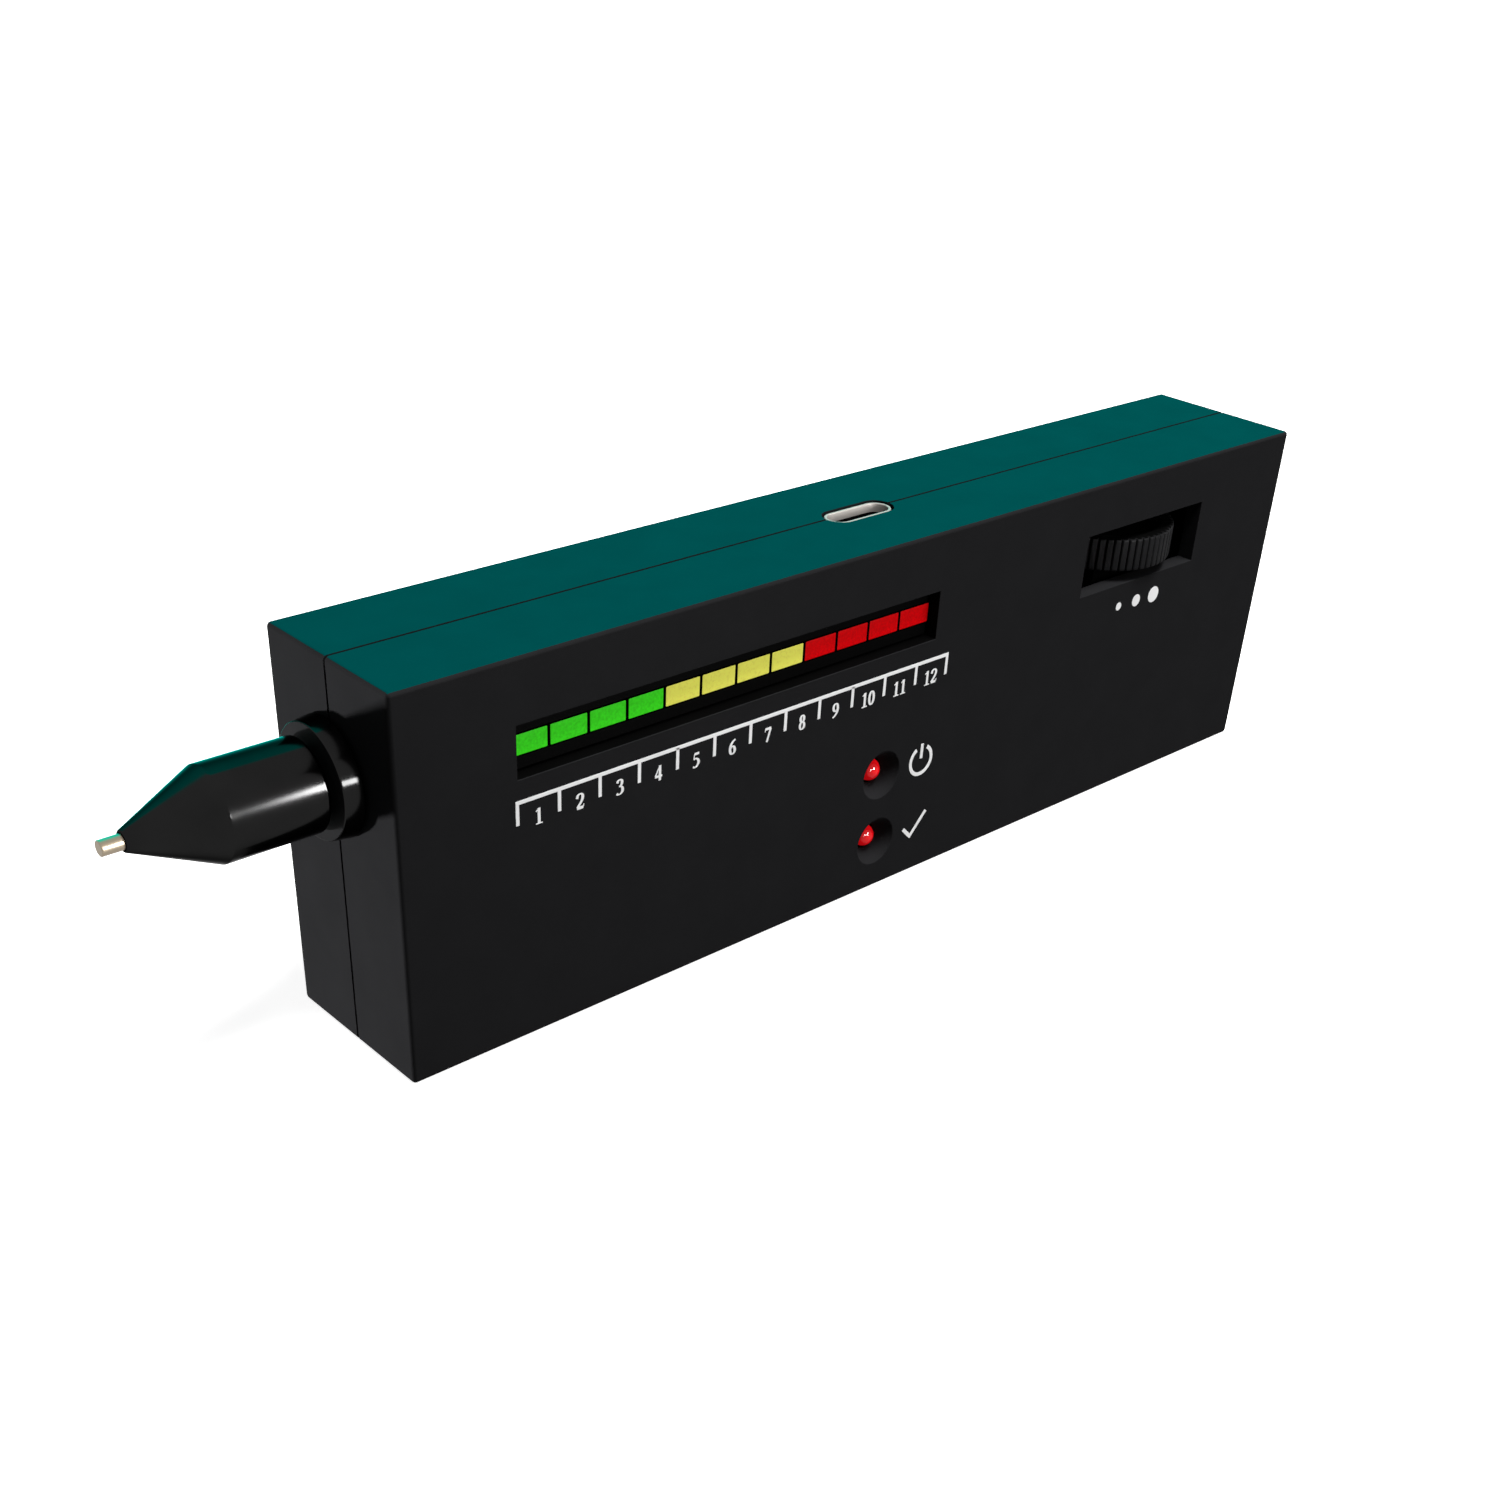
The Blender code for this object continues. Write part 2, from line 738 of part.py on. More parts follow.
def make_back_shell():
    """Back half of the case, with the lip, the screw bosses and their sinks."""
    seam_side = GAP / 2
    shell = case_block("back_shell", seam_side, back)
    cut(shell, hollow("back_room", seam_side, inner_back))
    join(
        shell,
        posts("back_bosses", back_boss_radius, seam_side, inner_back + EMBED, boss_places),
        settle(lip_ring()),
    )
    cut(
        shell,
        posts("screw_holes", boss_hole, -OVERRUN, back + OVERRUN, boss_places),
        posts("screw_sinks", sink_radius, sink_floor, back + OVERRUN, boss_places),
        tip_hole("back_tip_hole"),
        port_hole("back_port_hole"),
    )
    return shell


def screw_pattern(name, head, head_height, shank, length):
    """A pan-head screw on local Z, its head's underside at zero, with a cross slot."""
    crown = head_height / 2
    profile = [
        (0, head_height),
        (head - crown, head_height),
        (head, head_height - crown),
        (head, 0),
        (shank, 0),
        (shank, shank - length),
        (0, -length),
    ]
    screw = turned(name, profile, steps=SMALL_STEPS)
    reach = head * 2 / 3
    low = head_height - DRIVE_SLOT_DEPTH
    half = DRIVE_SLOT_WIDTH / 2
    top = head_height + OVERRUN
    return cut(
        screw,
        block(name + "_slot_a", (-reach, -half, low), (reach, half, top), parent=screw),
        block(name + "_slot_b", (-half, -reach, low), (half, reach, top), parent=screw),
    )


def make_case_screws():
    """Four screws through the back shell into the front shell's bosses."""
    length = head_seat + CASE_SCREW_ENGAGE
    screw = screw_pattern(
        "case_screw_pattern", CASE_SCREW_HEAD, CASE_SCREW_HEAD_HEIGHT, CASE_SCREW_SHANK, length
    )
    screw.location = (0, head_seat, 0)
    screw.rotation_euler = (-math.pi / 2, 0, 0)
    repeated("case_screw", screw, at_places(boss_places), steel)


def make_board_screws():
    """Four screws that hold the board on the front shell's standoffs."""
    seat = board_back + GAP
    length = BOARD_THICKNESS + 2 * GAP + BOARD_SCREW_ENGAGE
    screw = screw_pattern(
        "board_screw_pattern", BOARD_SCREW_HEAD, BOARD_SCREW_HEAD_HEIGHT, BOARD_SCREW_SHANK, length
    )
    screw.location = (0, seat, 0)
    screw.rotation_euler = (-math.pi / 2, 0, 0)
    repeated("board_screw", screw, at_places(standoff_places), steel)


def make_barrel():
    """Hollow barrel and cone that screws over the collar's spigot and guides the pin."""
    turned(
        "tip_barrel",
        [
            (CONE_END_RADIUS, cone_end),
            (BARREL_RADIUS, shoulder),
            (BARREL_RADIUS, barrel_rear),
            (barrel_bore, barrel_rear),
            (barrel_bore, bore_end),
            (pin_hole, guide_rear),
            (pin_hole, cone_end),
        ],
        gloss_black,
        tip_axis,
        TIP_STEPS,
    )


def make_collar():
    """Collar: a straight band that narrows to the case, with a spigot for the barrel and a sleeve
    through the case's end."""
    rounding = (COLLAR_RADIUS - COLLAR_ROUND, COLLAR_LENGTH - COLLAR_ROUND)
    turned(
        "nose_collar",
        [
            (spigot_radius, spigot_end),
            (spigot_radius, COLLAR_LENGTH),
            *arc(rounding, COLLAR_ROUND, 90, 0),
            (COLLAR_RADIUS, COLLAR_BAND_REAR),
            (BARREL_RADIUS, GAP),
            (sleeve_radius, GAP),
            (sleeve_radius, sleeve_end),
            (tail_hole, sleeve_end),
            (tail_hole, spigot_end),
        ],
        gloss_black,
        tip_axis,
        TIP_STEPS,
    )


def make_nut():
    """Hexagon nut that clamps the collar to the case's end."""
    nut = bar("nose_nut", (0, 0, nut_rear), (0, 0, nut_front), nut_radius, brass, tip_axis, steps=6)
    bore = bar(
        "nut_bore",
        (0, 0, nut_rear - OVERRUN),
        (0, 0, nut_front + OVERRUN),
        wall_hole,
        parent=tip_axis,
        steps=TIP_STEPS,
    )
    cut(nut, bore)


def make_plunger():
    """Sliding carrier of the pin: a head with a pocket, a flange for the spring, a step that meets
    the collar's spigot when the pin is pushed home, and a hollow tail with a clip."""
    groove = PLUNGER_TAIL_RADIUS - CLIP_GROOVE_DEPTH
    turned(
        "probe_plunger",
        [
            (head_radius, head_front),
            (head_radius, flange_front),
            (flange_radius, flange_front),
            (flange_radius, flange_rear),
            (stop_radius, flange_rear),
            (stop_radius, stop_rear),
            (PLUNGER_TAIL_RADIUS, stop_rear),
            (PLUNGER_TAIL_RADIUS, clip_front + FINE_GAP),
            (groove, clip_front + FINE_GAP),
            (groove, clip_rear - FINE_GAP),
            (PLUNGER_TAIL_RADIUS, clip_rear - FINE_GAP),
            (PLUNGER_TAIL_RADIUS, tail_end),
            (PLUNGER_TAIL_BORE, tail_end),
            (PLUNGER_TAIL_BORE, pocket_floor),
            (pocket_radius, pocket_floor),
            (pocket_radius, head_front),
        ],
        white_plastic,
        tip_axis,
    )
    turned(
        "plunger_clip",
        [
            (CLIP_RADIUS, clip_front),
            (CLIP_RADIUS, clip_rear),
            (groove + FINE_GAP, clip_rear),
            (groove + FINE_GAP, clip_front),
        ],
        steel,
        tip_axis,
    )


def make_probe_core():
    """Pin, its insulating bush, the heater ring round its rear end and the bead behind it."""
    turned(
        "probe_pin",
        [(0, pin_end), (PIN_RADIUS, pin_end), (PIN_RADIUS, pin_rear), (0, pin_rear)],
        copper,
        tip_axis,
    )
    turned(
        "pin_insulator",
        [
            (insulator_radius, insulator_front),
            (insulator_radius, insulator_rear),
            (insulator_bore, insulator_rear),
            (insulator_bore, insulator_front),
        ],
        white_plastic,
        tip_axis,
        TINY_STEPS,
    )
    turned(
        "probe_heater",
        [
            (insulator_radius, heater_front),
            (insulator_radius, heater_rear),
            (insulator_bore, heater_rear),
            (insulator_bore, heater_front),
        ],
        ceramic,
        tip_axis,
        TINY_STEPS,
    )
    bead = [
        (radius, thermistor_centre + height)
        for radius, height in arc((0, 0), THERMISTOR_RADIUS, 90, -90)
    ]
    bead[0] = (0, thermistor_centre + THERMISTOR_RADIUS)
    bead[-1] = (0, thermistor_centre - THERMISTOR_RADIUS)
    turned("probe_thermistor", bead, glass_red, tip_axis, TINY_STEPS)


def make_spring():
    """Helical spring between the collar's spigot and the plunger's flange."""
    start = spigot_end + GAP
    end = flange_rear - GAP
    run = end - start - 2 * SPRING_WIRE
    steps = SPRING_TURNS * SPRING_POINTS
    coil = []
    for n in range(steps + 1):
        angle = 2 * math.pi * n / SPRING_POINTS
        height = start + SPRING_WIRE + run * n / steps
        coil.append((SPRING_RADIUS * math.cos(angle), SPRING_RADIUS * math.sin(angle), height))
    route = [(coil[0][0], coil[0][1], start), *coil, (coil[-1][0], coil[-1][1], end)]
    tube("probe_spring", route, SPRING_WIRE / 2, steel, 1, tip_axis)
    apart = [
        (Vector(a) - Vector(b)).length
        for n, a in enumerate(coil)
        for b in coil[n + SPRING_POINTS // 2:]
    ]
    print(f"spring: least gap between turns {(min(apart) - SPRING_WIRE) * 1000:.2f} mm")


def make_probe_leads():
    """Four thin leads from the pocket, through the tail's bore, down to the plug on the board."""
    plug_x, plug_z = board_point(*PROBE_PLUG_PLACE_SHARES)
    block(
        "probe_plug",
        (plug_x - PLUG_WIDTH / 2, board_seat - PLUG_THICKNESS, plug_z - PLUG_DEPTH / 2),
        (plug_x + PLUG_WIDTH / 2, board_seat, plug_z + PLUG_DEPTH / 2),
        white_plastic,
    )
    entry_y = board_seat - PLUG_THICKNESS / 2
    entry_z = plug_z + PLUG_DEPTH / 2 + GAP
    start = case_end - heater_rear + 2 * LEAD_RADIUS
    leave = case_end - tail_end
    for n in range(LEADS):
        y = (n % 2 - 0.5) * LEAD_SPACING
        z = tip_z - (n // 2 - 0.5) * LEAD_SPACING
        entry_x = plug_x - (n - (LEADS - 1) / 2) * PLUG_WIDTH / (LEADS + 1)
        turn = leave + LEAD_SPACING
        curve = eased(
            [
                (leave, y, z),
                (turn, y, z),
                ((turn + entry_x) / 2, (y + entry_y) / 2, (z + entry_z) / 2),
                (entry_x, entry_y, entry_z + LEAD_SPACING),
                (entry_x, entry_y, entry_z),
            ]
        )
        tube(f"probe_lead_{n + 1}", [(start, y, z), *curve], LEAD_RADIUS, lead_white, 1)


def board_point(x_share, z_share):
    """A place on the board from its shares of the board's length and height."""
    return (
        board_left + x_share * (board_right - board_left),
        board_base + z_share * (board_top - board_base),
    )


def make_board():
    """Circuit board, cut clear of the bosses and the thumbwheel."""
    board = block(
        "main_board",
        (board_left, board_front, board_base),
        (board_right, board_back, board_top),
        board_green,
    )
    low, high = board_front - OVERRUN, board_back + OVERRUN
    slot_length = wheel_radius + WHEEL_SLOT_GAP
    slot_height = WHEEL_THICKNESS / 2 + WHEEL_SLOT_GAP
    cut(
        board,
        posts("board_boss_notches", back_boss_radius + BOARD_EDGE_GAP, low, high, boss_places),
        posts("board_screw_holes", standoff_hole, low, high, standoff_places, TINY_STEPS),
        block(
            "board_wheel_slot",
            (wheel_x - slot_length, low, wheel_z - slot_height),
            (wheel_x + slot_length, high, wheel_z + slot_height),
        ),
    )


def make_lights():
    """Row of twelve flat lights, each with two legs to the board, and the holder round them."""
    face = front + LIGHT_DEPTH
    half = (LIGHT_PITCH - GAP) / 2
    rear = face + LIGHT_LENGTH
    light = block(
        "light_pattern",
        (-half, face, -LIGHT_HEIGHT / 2),
        (half, rear, LIGHT_HEIGHT / 2),
    )
    for side in (-1, 1):
        x = side * LIGHT_LEG_SPACING / 2
        leg = block(
            f"light_leg_{side}",
            (x - LIGHT_LEG / 2, rear - EMBED, -LIGHT_LEG / 2),
            (x + LIGHT_LEG / 2, board_seat, LIGHT_LEG / 2),
        )
        join(light, leg)
    mesh = settled_mesh(light)
    discard(light)
    colours = (light_green, light_yellow, light_red)
    for n in range(LIGHT_COUNT):
        copy = place(f"light_{n + 1:02d}", mesh.copy(), colours[n * len(colours) // LIGHT_COUNT])
        copy.location = (bar_left + (n + 0.5) * LIGHT_PITCH, 0, bar_z)
    make_holder(face)


def make_holder(face):
    """Black holder of the lights: a face in the window, a flange behind it and two end posts."""
    body_front = inner_front + GAP
    body_back = body_front + HOLDER_DEPTH
    left, right = bar_left - HOLDER_FLANGE, bar_right + HOLDER_FLANGE
    low, high = bar_low - HOLDER_FLANGE, bar_high + HOLDER_FLANGE
    holder = block("light_holder", (left, body_front, low), (right, body_back, high), case_black)
    slot_half = LIGHT_HEIGHT / 2 + FINE_GAP
    raised = block(
        "holder_face",
        (bar_left + GAP, face + HOLDER_FACE_DEPTH, bar_low + GAP),
        (bar_right - GAP, body_front + EMBED, bar_high - GAP),
    )
    join(holder, raised)
    for side, x in (("left", left), ("right", right - HOLDER_POST)):
        post = block(
            f"holder_post_{side}",
            (x, body_back - EMBED, low),
            (x + HOLDER_POST, board_seat, bar_z),
        )
        join(holder, post)
    slot = block(
        "holder_slot",
        (bar_left, front, bar_z - slot_half),
        (bar_right, body_back + OVERRUN, bar_z + slot_half),
    )
    cut(holder, slot)


def make_lamps():
    """Two round lamps, domed towards the front, each with a flange and two legs."""
    centre = front + LAMP_DEPTH
    rear = centre + LAMP_LENGTH
    dome = arc((0, 0), LAMP_RADIUS, 90, 0)
    dome[0] = (0, LAMP_RADIUS)
    flange = LAMP_RADIUS + LAMP_FLANGE
    profile = [
        *dome,
        (LAMP_RADIUS, LAMP_FLANGE_THICKNESS - LAMP_LENGTH),
        (flange, LAMP_FLANGE_THICKNESS - LAMP_LENGTH),
        (flange, -LAMP_LENGTH),
        (0, -LAMP_LENGTH),
    ]
    for name, height in (("power_lamp", POWER_LAMP_HEIGHT), ("ready_lamp", READY_LAMP_HEIGHT)):
        lamp = turned(name, profile, lamp_red)
        lamp.location = (lamp_x, centre, height)
        lamp.rotation_euler = (math.pi / 2, 0, 0)
        for side in (-1, 1):
            x = lamp_x + side * LAMP_RADIUS / 2
            leg = block(
                f"{name}_leg_{side}",
                (x - LIGHT_LEG / 2, rear - EMBED, height - LIGHT_LEG / 2),
                (x + LIGHT_LEG / 2, board_seat, height + LIGHT_LEG / 2),
            )
            join(lamp, leg)


def wheel_outline():
    """Outline of the ridged rim: a flat top and a V groove for each ridge."""
    step = 2 * math.pi / RIDGE_COUNT
    inner = wheel_radius - RIDGE_DEPTH
    outline = []
    for n in range(RIDGE_COUNT):
        start = n * step
        end = start + RIDGE_FLAT_SHARE * step
        groove = (end + start + step) / 2
        for angle, radius in ((start, wheel_radius), (end, wheel_radius), (groove, inner)):
            outline.append((radius * math.cos(angle), radius * math.sin(angle)))
    return outline


def make_wheel():
    """Ridged thumbwheel on its shaft, dished on top round a hub, with the screw that holds it."""
    wheel = plate("thumbwheel", wheel_outline(), WHEEL_THICKNESS, gloss_black, wheel_axis)
    half = WHEEL_THICKNESS / 2
    rim_inside = wheel_radius - RIDGE_DEPTH - WHEEL_RIM
    dish = turned(
        "wheel_dish",
        [
            (rim_inside, half + OVERRUN),
            (rim_inside, dish_floor),
            (WHEEL_HUB_RADIUS, dish_floor),
            (WHEEL_HUB_RADIUS, half + OVERRUN),
        ],
        parent=wheel_axis,
    )
    bore = bar(
        "wheel_bore",
        (0, 0, -half - OVERRUN),
        (0, 0, half + OVERRUN),
        SHAFT_RADIUS + FINE_GAP,
        parent=wheel_axis,
    )
    cut(wheel, dish, bore)
    shaft_low = pot_top - POT_HEIGHT + POT_FLOOR + GAP
    turned(
        "wheel_shaft",
        [
            (0, half - WHEEL_SCREW_LENGTH),
            (SHAFT_BORE, half - WHEEL_SCREW_LENGTH),
            (SHAFT_BORE, half),
            (SHAFT_RADIUS, half),
            (SHAFT_RADIUS, shaft_low),
            (0, shaft_low),
        ],
        steel,
        wheel_axis,
    )
    screw = screw_pattern(
        "wheel_screw",
        WHEEL_SCREW_HEAD,
        WHEEL_SCREW_HEAD_HEIGHT,
        SHAFT_BORE - GAP,
        WHEEL_SCREW_LENGTH - GAP,
    )
    screw.parent = wheel_axis
    screw.location = (0, 0, half + GAP)
    screw.data.materials.append(steel)


def make_pot():
    """Potentiometer under the thumbwheel, seated against the board, and its three terminals."""
    top = wheel_z + pot_top
    low = top - POT_HEIGHT
    pot = block(
        "pot_body",
        (wheel_x - POT_LENGTH / 2, inner_front + POT_FRONT_GAP, low),
        (wheel_x + POT_LENGTH / 2, board_seat, top),
        pot_blue,
    )
    bore = bar(
        "pot_bore",
        (0, 0, pot_top - POT_HEIGHT + POT_FLOOR),
        (0, 0, pot_top + OVERRUN),
        SHAFT_RADIUS + FINE_GAP,
        parent=wheel_axis,
    )
    cut(pot, bore)
    terminal_back = board_seat - GAP
    terminal = block(
        "terminal_pattern",
        (-TERMINAL_WIDTH / 2, terminal_back - TERMINAL_THICKNESS, low - TERMINAL_DROP),
        (TERMINAL_WIDTH / 2, terminal_back, low + EMBED),
    )
    offsets = [(wheel_x + n * TERMINAL_SPACING, 0, 0) for n in (-1, 0, 1)]
    join(pot, copies("pot_terminals", terminal, offsets))


def make_port():
    """Charging socket: a metal sleeve with a plastic back and the tongue inside it."""
    mouth = CASE_HEIGHT - PORT_SINK
    shell = plate("port_shell", stadium(PORT_LENGTH, PORT_WIDTH), PORT_SHELL_LENGTH, steel)
    shell.location = (port_x, 0, (port_low + mouth) / 2)
    room = plate(
        "port_room",
        stadium(PORT_LENGTH - 2 * PORT_WALL, PORT_WIDTH - 2 * PORT_WALL),
        PORT_SHELL_LENGTH + 2 * OVERRUN,
    )
    room.location = shell.location
    cut(shell, room)
    inset = 2 * (PORT_WALL + FINE_GAP)
    outline = stadium(PORT_LENGTH - inset, PORT_WIDTH - inset)
    core = plate("port_tongue", outline, PORT_BACK, case_black)
    core.location = (port_x, 0, port_low + PORT_BACK / 2)
    tongue = block(
        "port_tongue_blade",
        (port_x - TONGUE_LENGTH / 2, -TONGUE_THICKNESS / 2, port_low + PORT_BACK - EMBED),
        (port_x + TONGUE_LENGTH / 2, TONGUE_THICKNESS / 2, mouth - TONGUE_SINK),
    )
    join(core, tongue)


def make_battery():
    """Flat cell on a foam pad in the back shell, with two leads to a plug on the board's back."""
    pad_back = inner_back - GAP
    pad_front = pad_back - PAD_THICKNESS
    cell_back = pad_front - GAP
    cell_front = board_back + GAP
    cell_low = WALL + CELL_INSET
    cell_high = inner_top - CELL_INSET
    cell = block(
        "battery_cell",
        (cell_left, cell_front, cell_low),
        (cell_right, cell_back, cell_high),
        cell_silver,
    )
    bevel = cell.modifiers.new("Folded edges", "BEVEL")
    bevel.width = CELL_ROUND
    bevel.segments = 2
    block(
        "battery_pad",
        (cell_left + PAD_INSET, pad_front, cell_low + PAD_INSET),
        (cell_right - PAD_INSET, pad_back, cell_high - PAD_INSET),
        case_black,
    )
    start = cell_right + GAP
    end = start + BATTERY_PLUG_GAP
    y = (cell_front + cell_back) / 2
    z = (cell_low + cell_high) / 2
    for name, side, material in (("plus", 1, lead_red), ("minus", -1, case_black)):
        lead_z = z + side * BATTERY_LEAD_SPACING / 2
        bow = side * BATTERY_LEAD_RADIUS
        route = eased(
            [
                (start, y, lead_z),
                (start + BATTERY_PLUG_GAP / 2, y, lead_z + bow),
                (end, y, lead_z),
            ]
        )
        tube(f"battery_lead_{name}", route, BATTERY_LEAD_RADIUS, material)
    block(
        "battery_plug",
        (end + GAP, cell_front, z - PLUG_WIDTH / 2),
        (end + GAP + PLUG_DEPTH, cell_back, z + PLUG_WIDTH / 2),
        white_plastic,
    )


def chip(name, shares, legs, rows_apart):
    """A chip on the board's front, its legs in two rows."""
    x, z = board_point(*shares)
    half_length = legs * CHIP_LEG_PITCH / 2
    half_width = rows_apart / 2
    body = block(
        name,
        (x - half_length, board_seat - CHIP_HEIGHT, z - half_width),
        (x + half_length, board_seat, z + half_width),
        case_black,
    )
    leg_back = board_seat - CHIP_LEG_THICKNESS
    leg = block(
        name + "_leg_pattern",
        (-CHIP_LEG_WIDTH / 2, leg_back - CHIP_LEG_THICKNESS, -half_width - CHIP_LEG_REACH),
        (CHIP_LEG_WIDTH / 2, leg_back, half_width + CHIP_LEG_REACH),
    )
    offsets = [(x + (n + 0.5) * CHIP_LEG_PITCH - half_length, 0, z) for n in range(legs)]
    join(body, copies(name + "_legs", leg, offsets))


def make_board_parts():
    """Buzzer, chips and a row of resistors on the front of the board."""
    x, z = board_point(*BUZZER_PLACE_SHARES)
    inside = BUZZER_RADIUS - BUZZER_SHELL
    buzzer = turned(
        "buzzer",
        [
            (0, BUZZER_SHELL),
            (inside, BUZZER_SHELL),
            (inside, BUZZER_HEIGHT - BUZZER_SHELL),
            (BUZZER_HOLE_RADIUS, BUZZER_HEIGHT - BUZZER_SHELL),
            (BUZZER_HOLE_RADIUS, BUZZER_HEIGHT),
            (BUZZER_RADIUS, BUZZER_HEIGHT),
            (BUZZER_RADIUS, 0),
            (0, 0),
        ],
        case_black,
    )
    buzzer.location = (x, board_seat, z)
    buzzer.rotation_euler = (math.pi / 2, 0, 0)
    chip("controller_chip", CONTROLLER_PLACE_SHARES, CONTROLLER_LEGS, 6 * CHIP_LEG_PITCH)
    chip("amplifier_chip", AMPLIFIER_PLACE_SHARES, AMPLIFIER_LEGS, 3 * CHIP_LEG_PITCH)
    chip("charger_chip", CHARGER_PLACE_SHARES, CHARGER_LEGS, 3 * CHIP_LEG_PITCH)
    resistor = block(
        "resistor_pattern",
        (-RESISTOR_WIDTH / 2, board_seat - RESISTOR_HEIGHT, -RESISTOR_LENGTH / 2),
        (RESISTOR_WIDTH / 2, board_seat, RESISTOR_LENGTH / 2),
    )
    row_x, row_z = RESISTOR_ROW_SHARES
    places = [board_point(row_x + n * RESISTOR_STEP_SHARE, row_z) for n in range(RESISTORS)]
    repeated("board_resistor", resistor, at_places(places), ceramic)


def make_tester():
    """Builds every piece of the tester."""
    make_front_shell()
    make_back_shell()
    make_case_screws()
    make_barrel()
    make_collar()
    make_nut()
    make_plunger()
    make_probe_core()
    make_spring()
    make_probe_leads()
    make_board()
    make_board_screws()
    make_lights()
    make_lamps()
    make_wheel()
    make_pot()
    make_port()
    make_battery()
    make_board_parts()


clear_scene()
parts = collection("stone_tester")
cutters = collection("cutters")

case_black = finish("matte_black_case", "232325", 0.55)
case_green = finish("green_lacquer_top", "005A57", 0.45)
gloss_black = finish("gloss_black_moulding", "0B0B0C", 0.15)
copper = finish("plated_copper_pin", "DCCDB4", 0.25, 1.0)
steel = finish("plated_steel", "B9BBBE", 0.3, 1.0)
brass = finish("brass_nut", "C9A75A", 0.3, 1.0)
white_plastic = finish("natural_nylon", "E3DFD2", 0.5)
ceramic = finish("white_ceramic", "E9E7E0", 0.4)
glass_red = finish("bead_glass", "8A3B25", 0.1)
board_green = finish("solder_mask", "1E5B34", 0.35)
light_green = finish("light_green", "34D01C", 0.4)
light_yellow = finish("light_yellow", "D7D75A", 0.4)
light_red = finish("light_red", "CD0005", 0.4)
lamp_red = finish("lamp_red", "DC141E", 0.1)
pot_blue = finish("potentiometer_body", "2C5E9E", 0.5)
cell_silver = finish("cell_wrap", "A9ADB2", 0.35, 0.6)
lead_red = finish("red_lead_insulation", "B5121B", 0.4)
lead_white = finish("white_lead_insulation", "E4E2DA", 0.35)

tip_axis = axis_empty("tip_axis", (case_end, 0, tip_z), (0, -math.pi / 2, 0))
wheel_axis = axis_empty("wheel_axis", (wheel_x, wheel_y, wheel_z))
bpy.context.view_layer.update()
make_tester()
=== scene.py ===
"""Dresses a hand-held gemstone tester for its picture: a matt black case with a blue-green top, a
gloss black probe tip, twelve lights over a numbered scale, a thumbwheel, two round lamps and a
charging socket.

Everything is in metres in the part's own frame. X runs along the case, away from the probe, Y from
the front to the back, and Z up.
"""
from __future__ import annotations

import json
import logging
import math
from collections.abc import Callable, Iterable
from dataclasses import dataclass, field, replace
from enum import Enum, IntEnum
from functools import reduce
from operator import add

import bmesh
import bpy
import numpy as np
from mathutils import Euler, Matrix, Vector


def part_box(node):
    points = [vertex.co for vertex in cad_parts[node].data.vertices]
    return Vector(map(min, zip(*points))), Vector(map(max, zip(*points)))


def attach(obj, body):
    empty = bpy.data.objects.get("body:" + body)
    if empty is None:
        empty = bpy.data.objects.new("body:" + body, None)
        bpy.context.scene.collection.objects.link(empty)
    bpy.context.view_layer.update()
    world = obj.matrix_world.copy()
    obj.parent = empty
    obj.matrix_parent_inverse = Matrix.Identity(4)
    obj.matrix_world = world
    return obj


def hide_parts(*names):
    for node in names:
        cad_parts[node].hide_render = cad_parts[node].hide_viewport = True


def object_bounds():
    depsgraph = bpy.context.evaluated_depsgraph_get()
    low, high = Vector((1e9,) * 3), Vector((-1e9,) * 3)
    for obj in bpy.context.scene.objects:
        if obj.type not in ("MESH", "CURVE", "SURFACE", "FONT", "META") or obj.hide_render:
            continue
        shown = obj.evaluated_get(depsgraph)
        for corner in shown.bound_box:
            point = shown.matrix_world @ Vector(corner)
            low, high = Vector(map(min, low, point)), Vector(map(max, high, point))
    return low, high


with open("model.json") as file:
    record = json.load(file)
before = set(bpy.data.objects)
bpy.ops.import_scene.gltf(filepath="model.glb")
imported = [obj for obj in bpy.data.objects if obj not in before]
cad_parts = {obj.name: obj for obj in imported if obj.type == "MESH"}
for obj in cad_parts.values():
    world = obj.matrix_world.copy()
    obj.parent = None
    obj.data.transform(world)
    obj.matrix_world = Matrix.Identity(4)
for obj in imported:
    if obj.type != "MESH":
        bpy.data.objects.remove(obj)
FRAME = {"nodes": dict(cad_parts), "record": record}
CAD_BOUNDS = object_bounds()

LOG = logging.getLogger("gemstone_tester")
MM = 0.001
MERGE = 0.001 * MM
WELD = 0.1 * MERGE
FLAT_ANGLE = math.radians(0.5)
SHARP_ANGLE = math.radians(35)
# The part of the range from zero to one that a noise pattern fills.
NOISE_LOW = 0.3
NOISE_HIGH = 0.7
# The lights and the round lamps stand on legs of this square wire.
LEG_SIDE = 0.5 * MM

Array = np.ndarray
Pair = tuple[float, float]
Triple = tuple[float, float, float]


class Body(Enum):
    """The bodies that pieces ride on."""

    HOUSING = "housing"
    PROBE = "probe"
    WHEEL = "wheel"


# Colours and shader nodes


def linear(colour: str) -> tuple[float, float, float, float]:
    """Turns a hex sRGB colour to linear light.

    Args:
        colour: Six hex digits.

    Returns:
        Red, green, blue and an alpha of one.
    """
    channels = np.array([int(colour[place:place + 2], 16) for place in (0, 2, 4)]) / 255
    values = np.where(channels <= 0.04045, channels / 12.92, ((channels + 0.055) / 1.055) ** 2.4)
    return (*values.tolist(), 1.0)


